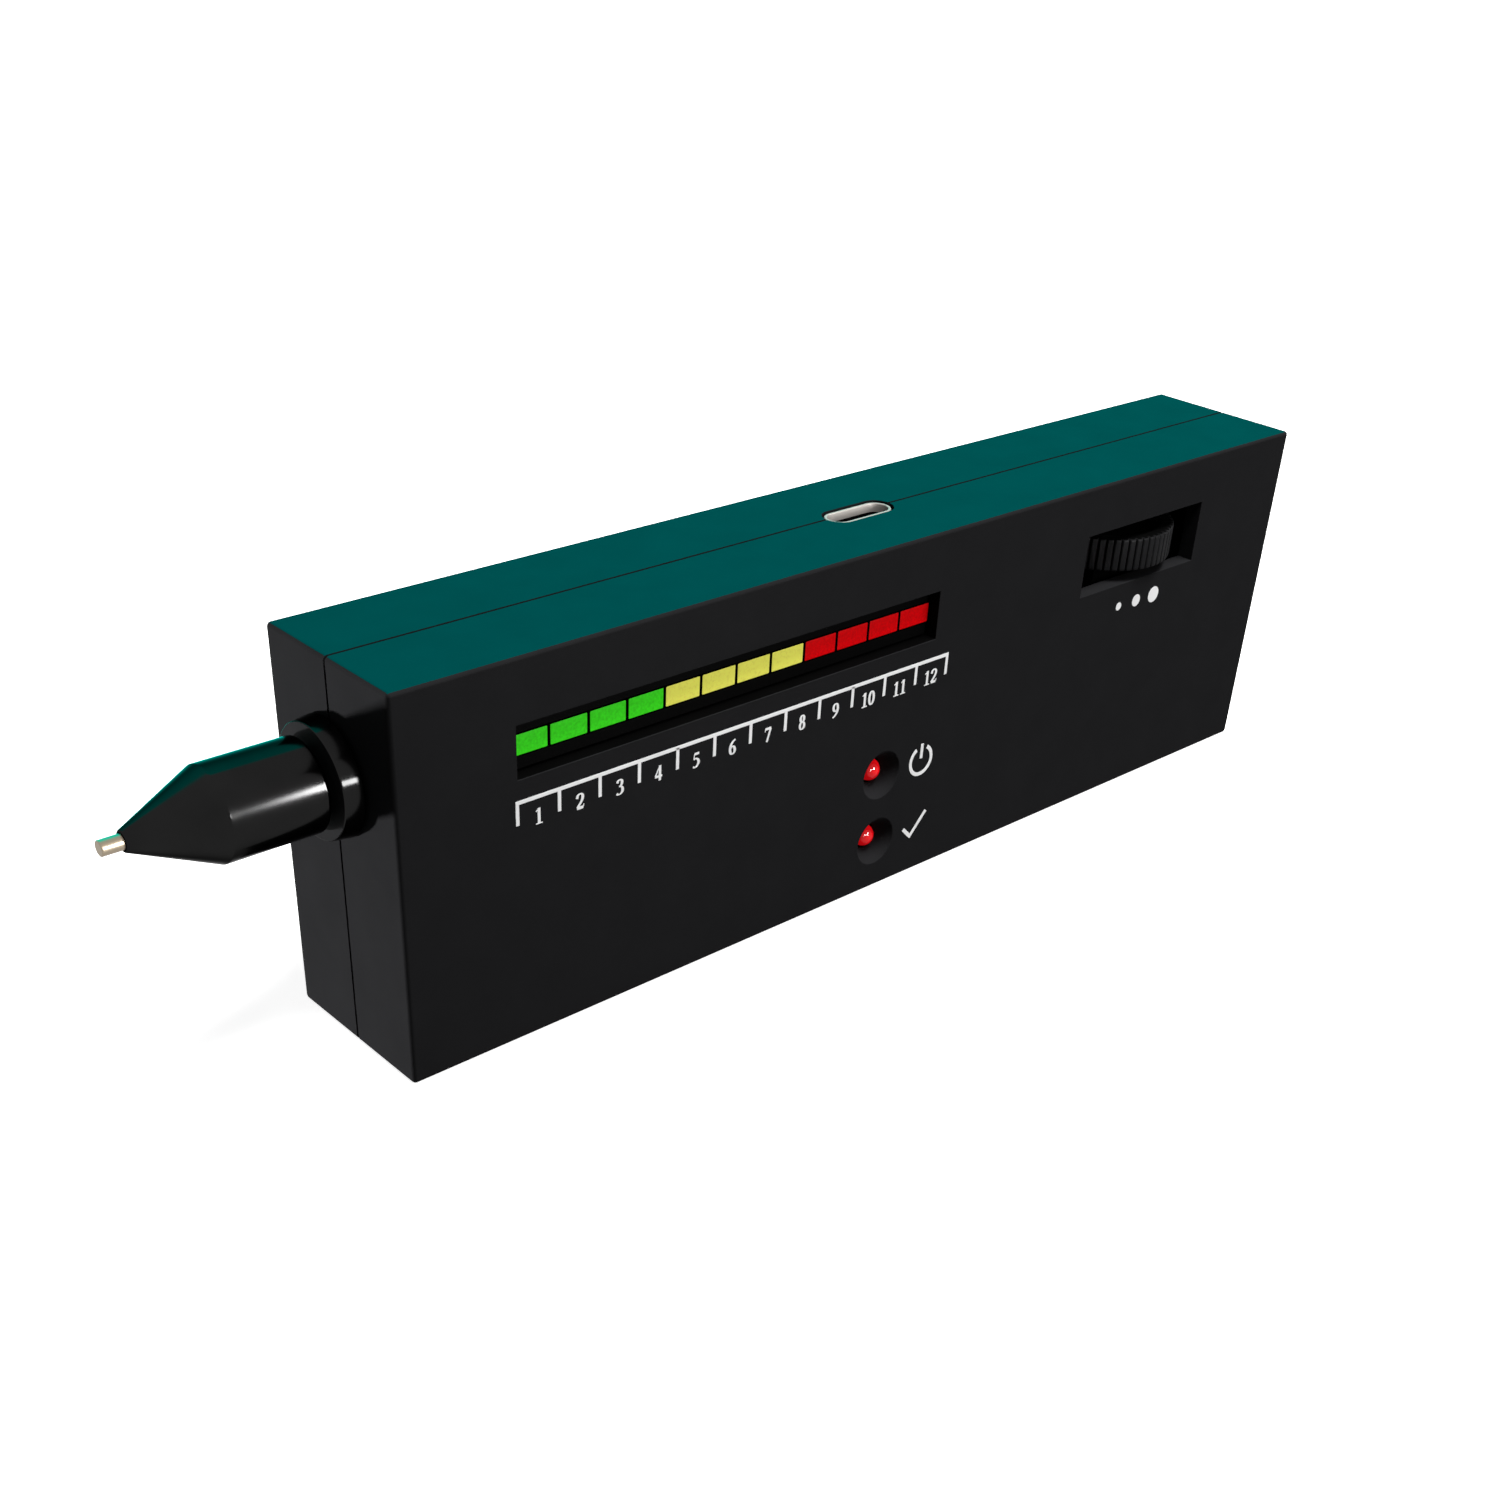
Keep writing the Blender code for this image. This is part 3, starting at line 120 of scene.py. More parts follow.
def add_node(
    tree: bpy.types.NodeTree, kind: str, inputs: dict | None = None, **settings: object
) -> bpy.types.Node:
    """Adds a node with its settings and links.

    Args:
        tree: The tree that takes the node.
        kind: The node's type.
        inputs: For each input's name or number, a value, or the output that is linked to it.
        **settings: The node's own properties.

    Returns:
        The node.
    """
    node = tree.nodes.new(kind)
    for name, value in settings.items():
        setattr(node, name, value)
    for name, value in (inputs or {}).items():
        socket = node.inputs[name]
        if isinstance(value, bpy.types.NodeSocket):
            tree.links.new(value, socket)
        else:
            socket.default_value = value
    return node


@dataclass(frozen=True)
class Finish:
    """A surface whose colour, gloss and relief wander a little, as a real one's do.

    The relief is a soft noise, which suits moulded and cast surfaces. Sizes are in millimetres.
    """

    name: str
    colour: str
    roughness: float
    metallic: float = 0.0
    specular: float = 0.5
    tint: str = "FFFFFF"
    coat: float = 0.0
    coat_roughness: float = 0.06
    glow: float = 0.0
    grain: float = 0.25
    relief: float = 0.004
    mottle: float = 0.08
    mottle_size: float = 5.0
    gloss_spread: float = 0.04

    def height(self, tree: bpy.types.NodeTree, place: bpy.types.NodeSocket) -> bpy.types.NodeSocket:
        """The relief's pattern.

        Args:
            tree: The material's node tree.
            place: Object coordinates, in metres.

        Returns:
            An output between zero and one.
        """
        inputs = {"Vector": place, "Scale": 1 / (self.grain * MM), "Detail": 2.0}
        return add_node(tree, "ShaderNodeTexNoise", inputs).outputs["Fac"]

    def make(self) -> bpy.types.Material:
        """Builds the material.

        Returns:
            The material, or the one that was made under this name before.
        """
        made = bpy.data.materials.get(self.name)
        if made:
            return made
        material = bpy.data.materials.new(self.name)
        material.use_nodes = True
        tree = material.node_tree
        shader = tree.nodes["Principled BSDF"]
        place = add_node(tree, "ShaderNodeTexCoord").outputs["Object"]
        patches = {"Vector": place, "Scale": 1 / (self.mottle_size * MM), "Detail": 4.0}
        cloud = add_node(tree, "ShaderNodeTexNoise", patches).outputs["Fac"]
        ramp = add_node(tree, "ShaderNodeValToRGB", {"Fac": cloud})
        base = np.array(linear(self.colour)[:3])
        stops = zip(ramp.color_ramp.elements, (NOISE_LOW, NOISE_HIGH), (-1, 1))
        for stop, position, side in stops:
            stop.position = position
            stop.color = (*np.clip(base * (1 + side * self.mottle), 0, 1).tolist(), 1.0)
        spread = {
            "Value": cloud,
            "From Min": NOISE_LOW,
            "From Max": NOISE_HIGH,
            "To Min": self.roughness + self.gloss_spread,
            "To Max": self.roughness - self.gloss_spread,
        }
        gloss = add_node(tree, "ShaderNodeMapRange", spread)
        relief = {"Height": self.height(tree, place), "Distance": self.relief * MM, "Strength": 1.0}
        bump = add_node(tree, "ShaderNodeBump", relief)
        for name, output in (
            ("Base Color", ramp.outputs["Color"]),
            ("Emission Color", ramp.outputs["Color"]),
            ("Roughness", gloss.outputs["Result"]),
            ("Normal", bump.outputs["Normal"]),
        ):
            tree.links.new(output, shader.inputs[name])
        for name, value in (
            ("Metallic", self.metallic),
            ("Specular IOR Level", self.specular),
            ("Specular Tint", linear(self.tint)),
            ("Coat Weight", self.coat),
            ("Coat Roughness", self.coat_roughness),
            ("Emission Strength", self.glow),
        ):
            shader.inputs[name].default_value = value
        return material


@dataclass(frozen=True)
class TurnedFinish(Finish):
    """Metal cut on a lathe: fine rings round the X axis, one per pass of the tool."""

    wobble: float = 0.6
    wobble_scale: float = 0.5

    def height(self, tree: bpy.types.NodeTree, place: bpy.types.NodeSocket) -> bpy.types.NodeSocket:
        """Rings whose spacing is the grain; the wave's own period is 2 pi / 20 at a scale of one.

        Args:
            tree: The material's node tree.
            place: Object coordinates, in metres.

        Returns:
            An output between zero and one.
        """
        inputs = {
            "Vector": place,
            "Scale": 2 * math.pi / 20 / (self.grain * MM),
            "Distortion": self.wobble,
            "Detail Scale": self.wobble_scale,
        }
        wave = add_node(tree, "ShaderNodeTexWave", inputs, wave_type="BANDS", bands_direction="X")
        return wave.outputs["Fac"]


@dataclass(frozen=True)
class BrushedFinish(Finish):
    """Plated sheet or wire: short fine scratches, drawn out along Z."""

    stretch: float = 12.0

    def height(self, tree: bpy.types.NodeTree, place: bpy.types.NodeSocket) -> bpy.types.NodeSocket:
        """Noise that is drawn out along the scratches by the stretch.

        Args:
            tree: The material's node tree.
            place: Object coordinates, in metres.

        Returns:
            An output between zero and one.
        """
        across = 1 / (self.grain * MM)
        scratches = {"Vector": place, "Scale": (across, across, across / self.stretch)}
        mapped = add_node(tree, "ShaderNodeMapping", scratches).outputs["Vector"]
        inputs = {"Vector": mapped, "Scale": 1.0, "Detail": 3.0}
        return add_node(tree, "ShaderNodeTexNoise", inputs).outputs["Fac"]


@dataclass(frozen=True)
class CellFinish(Finish):
    """Foam, woven glass or speckled resin: small cells side by side."""

    def height(self, tree: bpy.types.NodeTree, place: bpy.types.NodeSocket) -> bpy.types.NodeSocket:
        """Distance from the middle of the nearest cell."""
        inputs = {"Vector": place, "Scale": 1 / (self.grain * MM)}
        return add_node(tree, "ShaderNodeTexVoronoi", inputs).outputs["Distance"]


# ABS moulded against a spark-eroded tool: an even, fine matt grain that scatters light, so that
# black reads as dark grey. The grain of 0.25 mm is coarser than the real one, so that it shows.
CASE_BLACK = Finish(
    "spark_textured_abs", "1A1A1B", 0.6, specular=0.004, grain=0.25, relief=0.006, mottle=0.05,
    gloss_spread=0.02,
)
# Painted light: blue-green light falling from above, painted into the top faces as an even colour
# on the same moulding, with a faint orange peel.
PAINTED_TOP_LIGHT = Finish(
    "painted_blue_green_top_light", "003131", 0.5, specular=0.002, grain=0.6, relief=0.003, mottle=0.04,
    gloss_spread=0.02,
)
# ABS from a polished tool: deep black with soft-edged highlights. It is set as a dark mirror with
# a damped rim, so that its gloss stays even where it is seen at a slant.
TIP_BLACK = Finish(
    "polished_abs", "212121", 0.13, metallic=1.0, tint="B4B4B4", grain=0.9, relief=0.0008,
    mottle=0.1, gloss_spread=0.02,
)
# Thumbwheel of the same plastic, duller from handling. On the collar's face the same duller black
# is painted shade.
WHEEL_BLACK = Finish(
    "handled_abs_and_painted_shade", "181819", 0.42, specular=0.015, grain=0.3, relief=0.003, mottle=0.15
)
# Plain black nylon or ABS inside the case, which sees little light. The same black is painted shade
# on the light window's walls, the wheel's flat faces and deep in the socket.
INNER_BLACK_AND_PAINTED_SHADE = Finish(
    "satin_inner_abs_and_painted_shade", "040404", 0.5, specular=0.004, grain=0.3, relief=0.003, mottle=0.15
)
# Copper alloy turned, then plated pale and warm: fine rings and a soft gleam.
PIN_METAL = TurnedFinish(
    "plated_copper_turned", "9C8F7C", 0.33, metallic=1.0, grain=0.12, relief=0.0015, mottle=0.05
)
# Brass as it comes off the lathe: warm and bright, with rings.
BRASS = TurnedFinish("turned_brass", "C9A75A", 0.28, metallic=1.0, grain=0.2, relief=0.002)
# Nickel plate on pressed or drawn steel: bright and cool, with short scratches.
NICKEL = BrushedFinish(
    "nickel_plated_steel", "C6CBCE", 0.22, metallic=1.0, grain=0.05, relief=0.0006
)
# Tin plate left satin, as on a pressed socket: it scatters the sky instead of mirroring the dark.
SATIN_PLATE = BrushedFinish(
    "satin_tin_plate", "9C9792", 0.55, metallic=0.4, specular=0.1, grain=0.05, relief=0.0006
)
# Screws blackened with oxide: dark grey metal with a dull gleam. On the wheel screw the same dark
# metal is painted shade.
BLACK_STEEL = BrushedFinish(
    "blackened_steel", "2B2C2F", 0.35, metallic=1.0, grain=0.06, relief=0.001
)
# Thin gold on contacts: rich yellow, finely brushed.
GOLD = BrushedFinish("gold_flash", "D9B35C", 0.25, metallic=1.0, grain=0.05, relief=0.0005)
# Nylon as it comes from the mould: milky, slightly waxy.
NYLON = Finish("natural_nylon", "E3DFD2", 0.45, specular=0.4, grain=0.4, relief=0.003)
# Fired alumina: hard, even white with a slight sheen.
ALUMINA = Finish("white_alumina", "E9E7E0", 0.35, specular=0.5, grain=0.15, relief=0.002)
# A bead of fused glass: brown-red under a clear, wet-looking skin.
BEAD_GLASS = Finish("bead_glass", "8A3B25", 0.08, coat=0.6, grain=0.3, relief=0.0005)
# Silicone sleeves of the leads: even colour with a soft, rubbery sheen.
SILICONE_WHITE = Finish("white_silicone", "E4E2DA", 0.4, specular=0.3, grain=0.2, relief=0.002)
SILICONE_RED = replace(SILICONE_WHITE, name="red_silicone", colour="B5121B")
SILICONE_BLACK = replace(SILICONE_WHITE, name="black_silicone", colour="1F1F20")
# Glass cloth in epoxy under a solder mask: the weave shows through the green as small cells.
SOLDER_MASK = CellFinish("solder_mask_on_glass_cloth", "1E5B34", 0.3, grain=0.5, relief=0.004)
# Closed-cell foam tape: dark, dry and pitted.
FOAM = CellFinish(
    "closed_cell_foam", "262628", 0.8, specular=0.2, grain=0.3, relief=0.03, mottle=0.2
)
# Aluminium pouch of the cell: grey foil with broad, faint creases.
POUCH = BrushedFinish(
    "aluminium_pouch", "A9ADB2", 0.3, metallic=0.8, grain=0.3, relief=0.003, stretch=3.0
)
# Epoxy filled with a diffusing powder: flat, strong colour with a fine speckle. The glow stands for
# light that the powder scatters inside the block.
LIGHT_GREEN = CellFinish(
    "green_diffusing_epoxy", "33C21B", 0.45, specular=0.01, glow=0.56, grain=0.3, relief=0.006,
    mottle=0.12, mottle_size=0.25,
)
LIGHT_YELLOW = replace(LIGHT_GREEN, name="yellow_diffusing_epoxy", colour="D2D056", mottle=0.08)
LIGHT_RED = replace(LIGHT_GREEN, name="red_diffusing_epoxy", colour="BC0106", mottle=0.15)
# Clear red epoxy cast in a polished mould: saturated, with one small sharp glint.
LAMP_RED = Finish(
    "clear_red_epoxy", "D80C14", 0.1, specular=0.0, coat=0.4, glow=0.5, grain=0.8, relief=0.0004,
    mottle=0.1, mottle_size=1.0,
)
# Pad-printed ink: an opaque, matt off-white with a slightly uneven edge of its own thickness.
INK = Finish("pad_printed_ink", "DDDDDD", 0.6, specular=0.15, grain=0.15, relief=0.002, mottle=0.04)

SLOT_FINISHES = {
    "case_plastic": CASE_BLACK,
    "gloss_black": TIP_BLACK,
    "pin_metal": PIN_METAL,
    "steel": NICKEL,
    "brass": BRASS,
    "nylon": NYLON,
    "ceramic": ALUMINA,
    "bead_glass": BEAD_GLASS,
    "lead_white": SILICONE_WHITE,
    "lead_red": SILICONE_RED,
    "lead_black": SILICONE_BLACK,
    "board": SOLDER_MASK,
    "inner_black": INNER_BLACK_AND_PAINTED_SHADE,
    "light_green": LIGHT_GREEN,
    "light_yellow": LIGHT_YELLOW,
    "light_red": LIGHT_RED,
    "lamp_red": LAMP_RED,
    "cell_wrap": POUCH,
    "foam": FOAM,
}


# Shapes built as grids of points


def new_object(name: str, data: bpy.types.ID) -> bpy.types.Object:
    """Adds an object to the scene.

    Args:
        name: Its name.
        data: Its mesh, lamp or camera.

    Returns:
        The object.
    """
    obj = bpy.data.objects.new(name, data)
    bpy.context.scene.collection.objects.link(obj)
    return obj


@dataclass
class Form:
    """Points and faces of one or more closed shapes, before they become a mesh."""

    points: Array
    quads: Array
    caps: list[Array] = field(default_factory=list)

    def __add__(self, other: Form) -> Form:
        """Both forms as one.

        Args:
            other: The form whose points and faces follow this one's.

        Returns:
            The whole.
        """
        count = len(self.points)
        return Form(
            np.vstack([self.points, other.points]),
            np.vstack([self.quads, other.quads + count]),
            self.caps + [cap + count for cap in other.caps],
        )

    def moved(self, offset: Triple) -> Form:
        """A copy at an offset."""
        return Form(self.points + np.array(offset), self.quads, self.caps)

    def build(
        self, name: str, finish: Finish, sharp_angle: float = SHARP_ANGLE
    ) -> bpy.types.Object:
        """Makes an object of the form.

        Args:
            name: The piece's name.
            finish: Its finish.
            sharp_angle: Edges that turn more than this stay crisp.

        Returns:
            The object, with coinciding points merged and its faces turned outwards.
        """
        mesh = bpy.data.meshes.new(name)
        faces = self.quads.tolist() + [cap.tolist() for cap in self.caps]
        mesh.from_pydata(self.points, [], faces)
        bm = bmesh.new()
        bm.from_mesh(mesh)
        bmesh.ops.remove_doubles(bm, verts=bm.verts, dist=WELD)
        bmesh.ops.dissolve_degenerate(bm, edges=bm.edges, dist=WELD)
        bmesh.ops.recalc_face_normals(bm, faces=bm.faces)
        bm.to_mesh(mesh)
        bm.free()
        mesh.shade_smooth()
        mesh.set_sharp_from_angle(angle=sharp_angle)
        mesh.materials.append(finish.make())
        return new_object(name, mesh)


def joined(forms: Iterable[Form]) -> Form:
    """All forms as one, in their order."""
    return reduce(add, forms)


def skin(points: Array, rows_loop: bool = False, capped: bool = False) -> Form:
    """Quads on a grid of points whose columns close into a ring.

    Point (i, j) is joined to (i + 1, j), (i + 1, j + 1) and (i, j + 1), and the numbers wrap round.

    Args:
        points: An array of rows by columns by three.
        rows_loop: The last row joins the first.
        capped: The first and the last row are closed with a face.

    Returns:
        The form.
    """
    rows, columns = points.shape[:2]
    i = np.arange(rows if rows_loop else rows - 1)[:, None]
    j = np.arange(columns)[None, :]
    here = i * columns
    next_row = (i + 1) % rows * columns
    next_column = (j + 1) % columns
    loop = (here + j, next_row + j, next_row + next_column, here + next_column)
    quads = np.stack(loop, axis=-1).reshape(-1, 4)
    ends = (0, (rows - 1) * columns) if capped else ()
    return Form(points.reshape(-1, 3), quads, [np.arange(columns) + start for start in ends])


def rounded(profile: Array, radii: Array, steps: int = 5, hold: float = 0.0) -> Array:
    """Rounds each corner of a profile.

    A corner P becomes a curve from A to B, which lie on its two sides at the radius from it: the
    point at share t is (1 - t) squared times A, plus 2 t (1 - t) times P, plus t squared times B.
    A hold adds a point on each side beyond the curve, so that smooth shading leaves the side
    straight.

    Args:
        profile: Corners in order, count by two, taken as a closed loop.
        radii: How far along its sides each corner is cut; zero keeps it.
        steps: Points per corner.
        hold: How far beyond the curve the added points lie, as a share of the radius; zero adds
            none.

    Returns:
        The rounded profile, with the same number of points for every corner, by two.
    """
    corner = profile[:, None]
    reach = np.asarray(radii, float)[:, None]
    before = np.roll(profile, 1, axis=0) - profile
    after = np.roll(profile, -1, axis=0) - profile
    back = (before / np.linalg.norm(before, axis=1, keepdims=True) * reach)[:, None]
    on = (after / np.linalg.norm(after, axis=1, keepdims=True) * reach)[:, None]
    start = corner + back
    end = corner + on
    t = np.linspace(0, 1, steps)[None, :, None]
    curve = (1 - t) ** 2 * start + 2 * t * (1 - t) * corner + t ** 2 * end
    if hold:
        curve = np.concatenate([start + hold * back, curve, end + hold * on], axis=1)
    return curve.reshape(-1, 2)


class Axis(Enum):
    """Direction that a turned piece's profile runs in, with the two directions of its circle."""

    MINUS_X = ((-1, 0, 0), (0, 1, 0), (0, 0, 1))
    MINUS_Y = ((0, -1, 0), (1, 0, 0), (0, 0, 1))


def turned(profile: Array, origin: Triple, axis: Axis, steps: int, loop: bool = True) -> Form:
    """A profile turned about an axis.

    The point at profile point (s, r) and angle a is the origin, plus s along the axis, plus r cos a
    and r sin a along the circle's two directions.

    Args:
        profile: Distance along the axis and radius, count by two.
        origin: Where the distance is zero.
        axis: The axis.
        steps: Points round the circle.
        loop: The profile closes on itself; otherwise it starts and ends on the axis.

    Returns:
        The form.
    """
    along, first, second = (np.array(direction, float) for direction in axis.value)
    angle = np.linspace(0, 2 * math.pi, steps, endpoint=False)
    ring = np.cos(angle)[:, None] * first + np.sin(angle)[:, None] * second
    points = np.array(origin) + profile[:, :1, None] * along + profile[:, 1:, None] * ring[None]
    return skin(points, rows_loop=loop)


def circle(angle: Array) -> Array:
    """Points (cos a, sin a) of the unit circle at some angles, along a new last dimension."""
    return np.stack([np.cos(angle), np.sin(angle)], axis=-1)


def oblong(length: float, width: float, corner: float, steps: int = 6) -> Array:
    """Outline of a rectangle with round corners, centred on zero.

    The point at angle a of a corner is half the size less the radius, with the corner's signs, plus
    the radius times (cos a, sin a).

    Args:
        length: Its size in the first direction.
        width: Its size in the second.
        corner: The corners' radius.
        steps: Points per corner.

    Returns:
        The outline, 4 times steps by two.
    """
    half = np.array([length, width]) / 2 - corner
    signs = np.array([(1, 1), (-1, 1), (-1, -1), (1, -1)])
    quarter = np.linspace(0, math.pi / 2, steps)
    angle = np.arange(4)[:, None] * math.pi / 2 + quarter[None]
    return (signs[:, None] * half + circle(angle) * corner).reshape(-1, 2)


def leg_pair(start: float, end: float, spacing: float) -> Form:
    """Two square legs along Y, each an outline carried from its start to its end.

    Args:
        start: Where they leave the light or lamp.
        end: Where they meet the board.
        spacing: From middle to middle.

    Returns:
        The form.
    """
    x, z = oblong(LEG_SIDE, LEG_SIDE, LEG_SIDE / 8, 2).T
    rows = [np.stack([x, np.full(len(x), y), z], axis=-1) for y in (start, end)]
    leg = skin(np.array(rows), capped=True)
    return leg.moved((-spacing / 2, 0, 0)) + leg.moved((spacing / 2, 0, 0))


# Pieces as objects


def corners(node: str) -> tuple[Array, Array]:
    """Lowest and highest corner of a CAD node."""
    low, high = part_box(node)
    return np.array(low), np.array(high)


def middle_of(node: str) -> Array:
    """Middle of a CAD node's box."""
    low, high = corners(node)
    return (low + high) / 2


def merged_copy(node: str) -> tuple[bpy.types.Object, bmesh.types.BMesh]:
    """Copies a CAD node, joins its loose triangles and makes each flat of it one face.

    Args:
        node: The CAD node.

    Returns:
        A new object, and the mesh data to change before it is written to the object.
    """
    mesh = bpy.data.meshes.new(node + "_moulding")
    obj = new_object(mesh.name, mesh)
    bm = bmesh.new()
    bm.from_mesh(FRAME["nodes"][node].data)
    bmesh.ops.remove_doubles(bm, verts=bm.verts, dist=MERGE)
    bmesh.ops.dissolve_limit(bm, angle_limit=FLAT_ANGLE, verts=bm.verts, edges=bm.edges)
    return obj, bm


def dress_some(
    obj: bpy.types.Object, finish: Finish, chosen: Callable[[bpy.types.MeshPolygon], bool]
) -> None:
    """Gives some faces of a piece a second finish.

    Args:
        obj: The piece, with its first finish.
        finish: The second finish.
        chosen: Tells whether a face takes it.
    """
    obj.data.materials.append(finish.make())
    for polygon in obj.data.polygons:
        polygon.material_index = int(chosen(polygon))


def settle(
    obj: bpy.types.Object, body: Body, replaces: tuple[str, ...] = ()
) -> None:
    """Puts a finished piece on its body.

    Args:
        obj: The piece, in place.
        body: The body that it rides on.
        replaces: CAD nodes that it stands for.
    """
    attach(obj, body.value)
    if replaces:
        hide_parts(*replaces)
    LOG.info("%s: %d faces, on %s", obj.name, len(obj.data.polygons), body.value)


# The tester's sub-assemblies


class CaseFace(IntEnum):
    """Number of the finish that a face of the case takes, as in CASE_FINISHES."""

    BLACK = 0
    LACQUERED = 1
    MASKED = 2


CASE_FINISHES = (CASE_BLACK, PAINTED_TOP_LIGHT, INNER_BLACK_AND_PAINTED_SHADE)


@dataclass
class Case:
    """Two moulded shells that meet on the middle plane, closed by four screws from the back."""

    edge_ease: float = 0.1 * MM
    lacquer_reach: float = 0.2 * MM
    lacquer_tilt: float = math.radians(40)
    masked_margin: float = 0.3 * MM

    def rim_edges(self, bm: bmesh.types.BMesh) -> list[bmesh.types.BMEdge]:
        """Edges of the windows and holes on the outside.

        Args:
            bm: A shell's mesh data.

        Returns:
            The crisp edges that lie in the front, the top or the tip's end of the case.
        """
        low, high = corners("front_shell")
        planes = ((1, low[1]), (2, high[2]), (0, low[0]))
        seam = abs(high[1]) + MERGE
        return [
            edge
            for edge in bm.edges
            if edge.is_manifold
            and edge.calc_face_angle() > SHARP_ANGLE
            and max(abs(v.co.y) for v in edge.verts) > seam
            and any(all(abs(v.co[a] - at) < MERGE for v in edge.verts) for a, at in planes)
        ]

    def light_window(self) -> tuple[Array, Array]:
        """The space of the light window, whose walls take the inner black as painted shade.

        Returns:
            Its lowest and its highest corner.
        """
        low, high = corners("light_holder")
        margin = np.array([self.masked_margin, 0, self.masked_margin])
        low = low - margin
        high = high + margin
        low[1] = corners("front_shell")[0][1] + self.edge_ease / 2
        return low, high

    def kind(self, face: bmesh.types.BMFace, top: float, window: tuple[Array, Array]) -> CaseFace:
        """Tells which finish a face takes.

        Args:
            face: A face of a shell.
            top: Height of the case's top.
            window: Lowest and highest corner of the light window's space.

        Returns:
            Masked in the light window, lacquered on top, and black elsewhere.
        """
        middle = np.array(face.calc_center_median())
        # Faces in the light window take the inner black as painted shade.
        if np.all(middle > window[0]) and np.all(middle < window[1]):
            return CaseFace.MASKED
        # Upward faces at the top take the painted blue-green light from above.
        upward = face.normal.z > math.cos(self.lacquer_tilt)
        if upward and middle[2] > top - self.lacquer_reach:
            return CaseFace.LACQUERED
        return CaseFace.BLACK

    def build(self) -> None:
        """Builds both shells, eases their rims and gives their top faces painted blue-green light.
        """
        top = corners("front_shell")[1][2]
        window = self.light_window()
        for node in ("front_shell", "back_shell"):
            obj, bm = merged_copy(node)
            bmesh.ops.bevel(
                bm,
                geom=self.rim_edges(bm),
                offset=self.edge_ease,
                segments=2,
                profile=0.5,
                affect="EDGES",
                clamp_overlap=True,
            )
            for face in bm.faces:
                face.material_index = self.kind(face, top, window)
            bm.to_mesh(obj.data)
            bm.free()
            # The normals that came with the copy no longer fit the eased edges.
            for layer in [a for a in obj.data.attributes if a.name == "custom_normal"]:
                obj.data.attributes.remove(layer)
            for finish in CASE_FINISHES:
                obj.data.materials.append(finish.make())
            obj.data.shade_smooth()
            obj.data.set_sharp_from_angle(angle=SHARP_ANGLE)
            weighted = obj.modifiers.new("Flat faces stay flat", "WEIGHTED_NORMAL")
            weighted.keep_sharp = True
            settle(obj, Body.HOUSING, (node,))


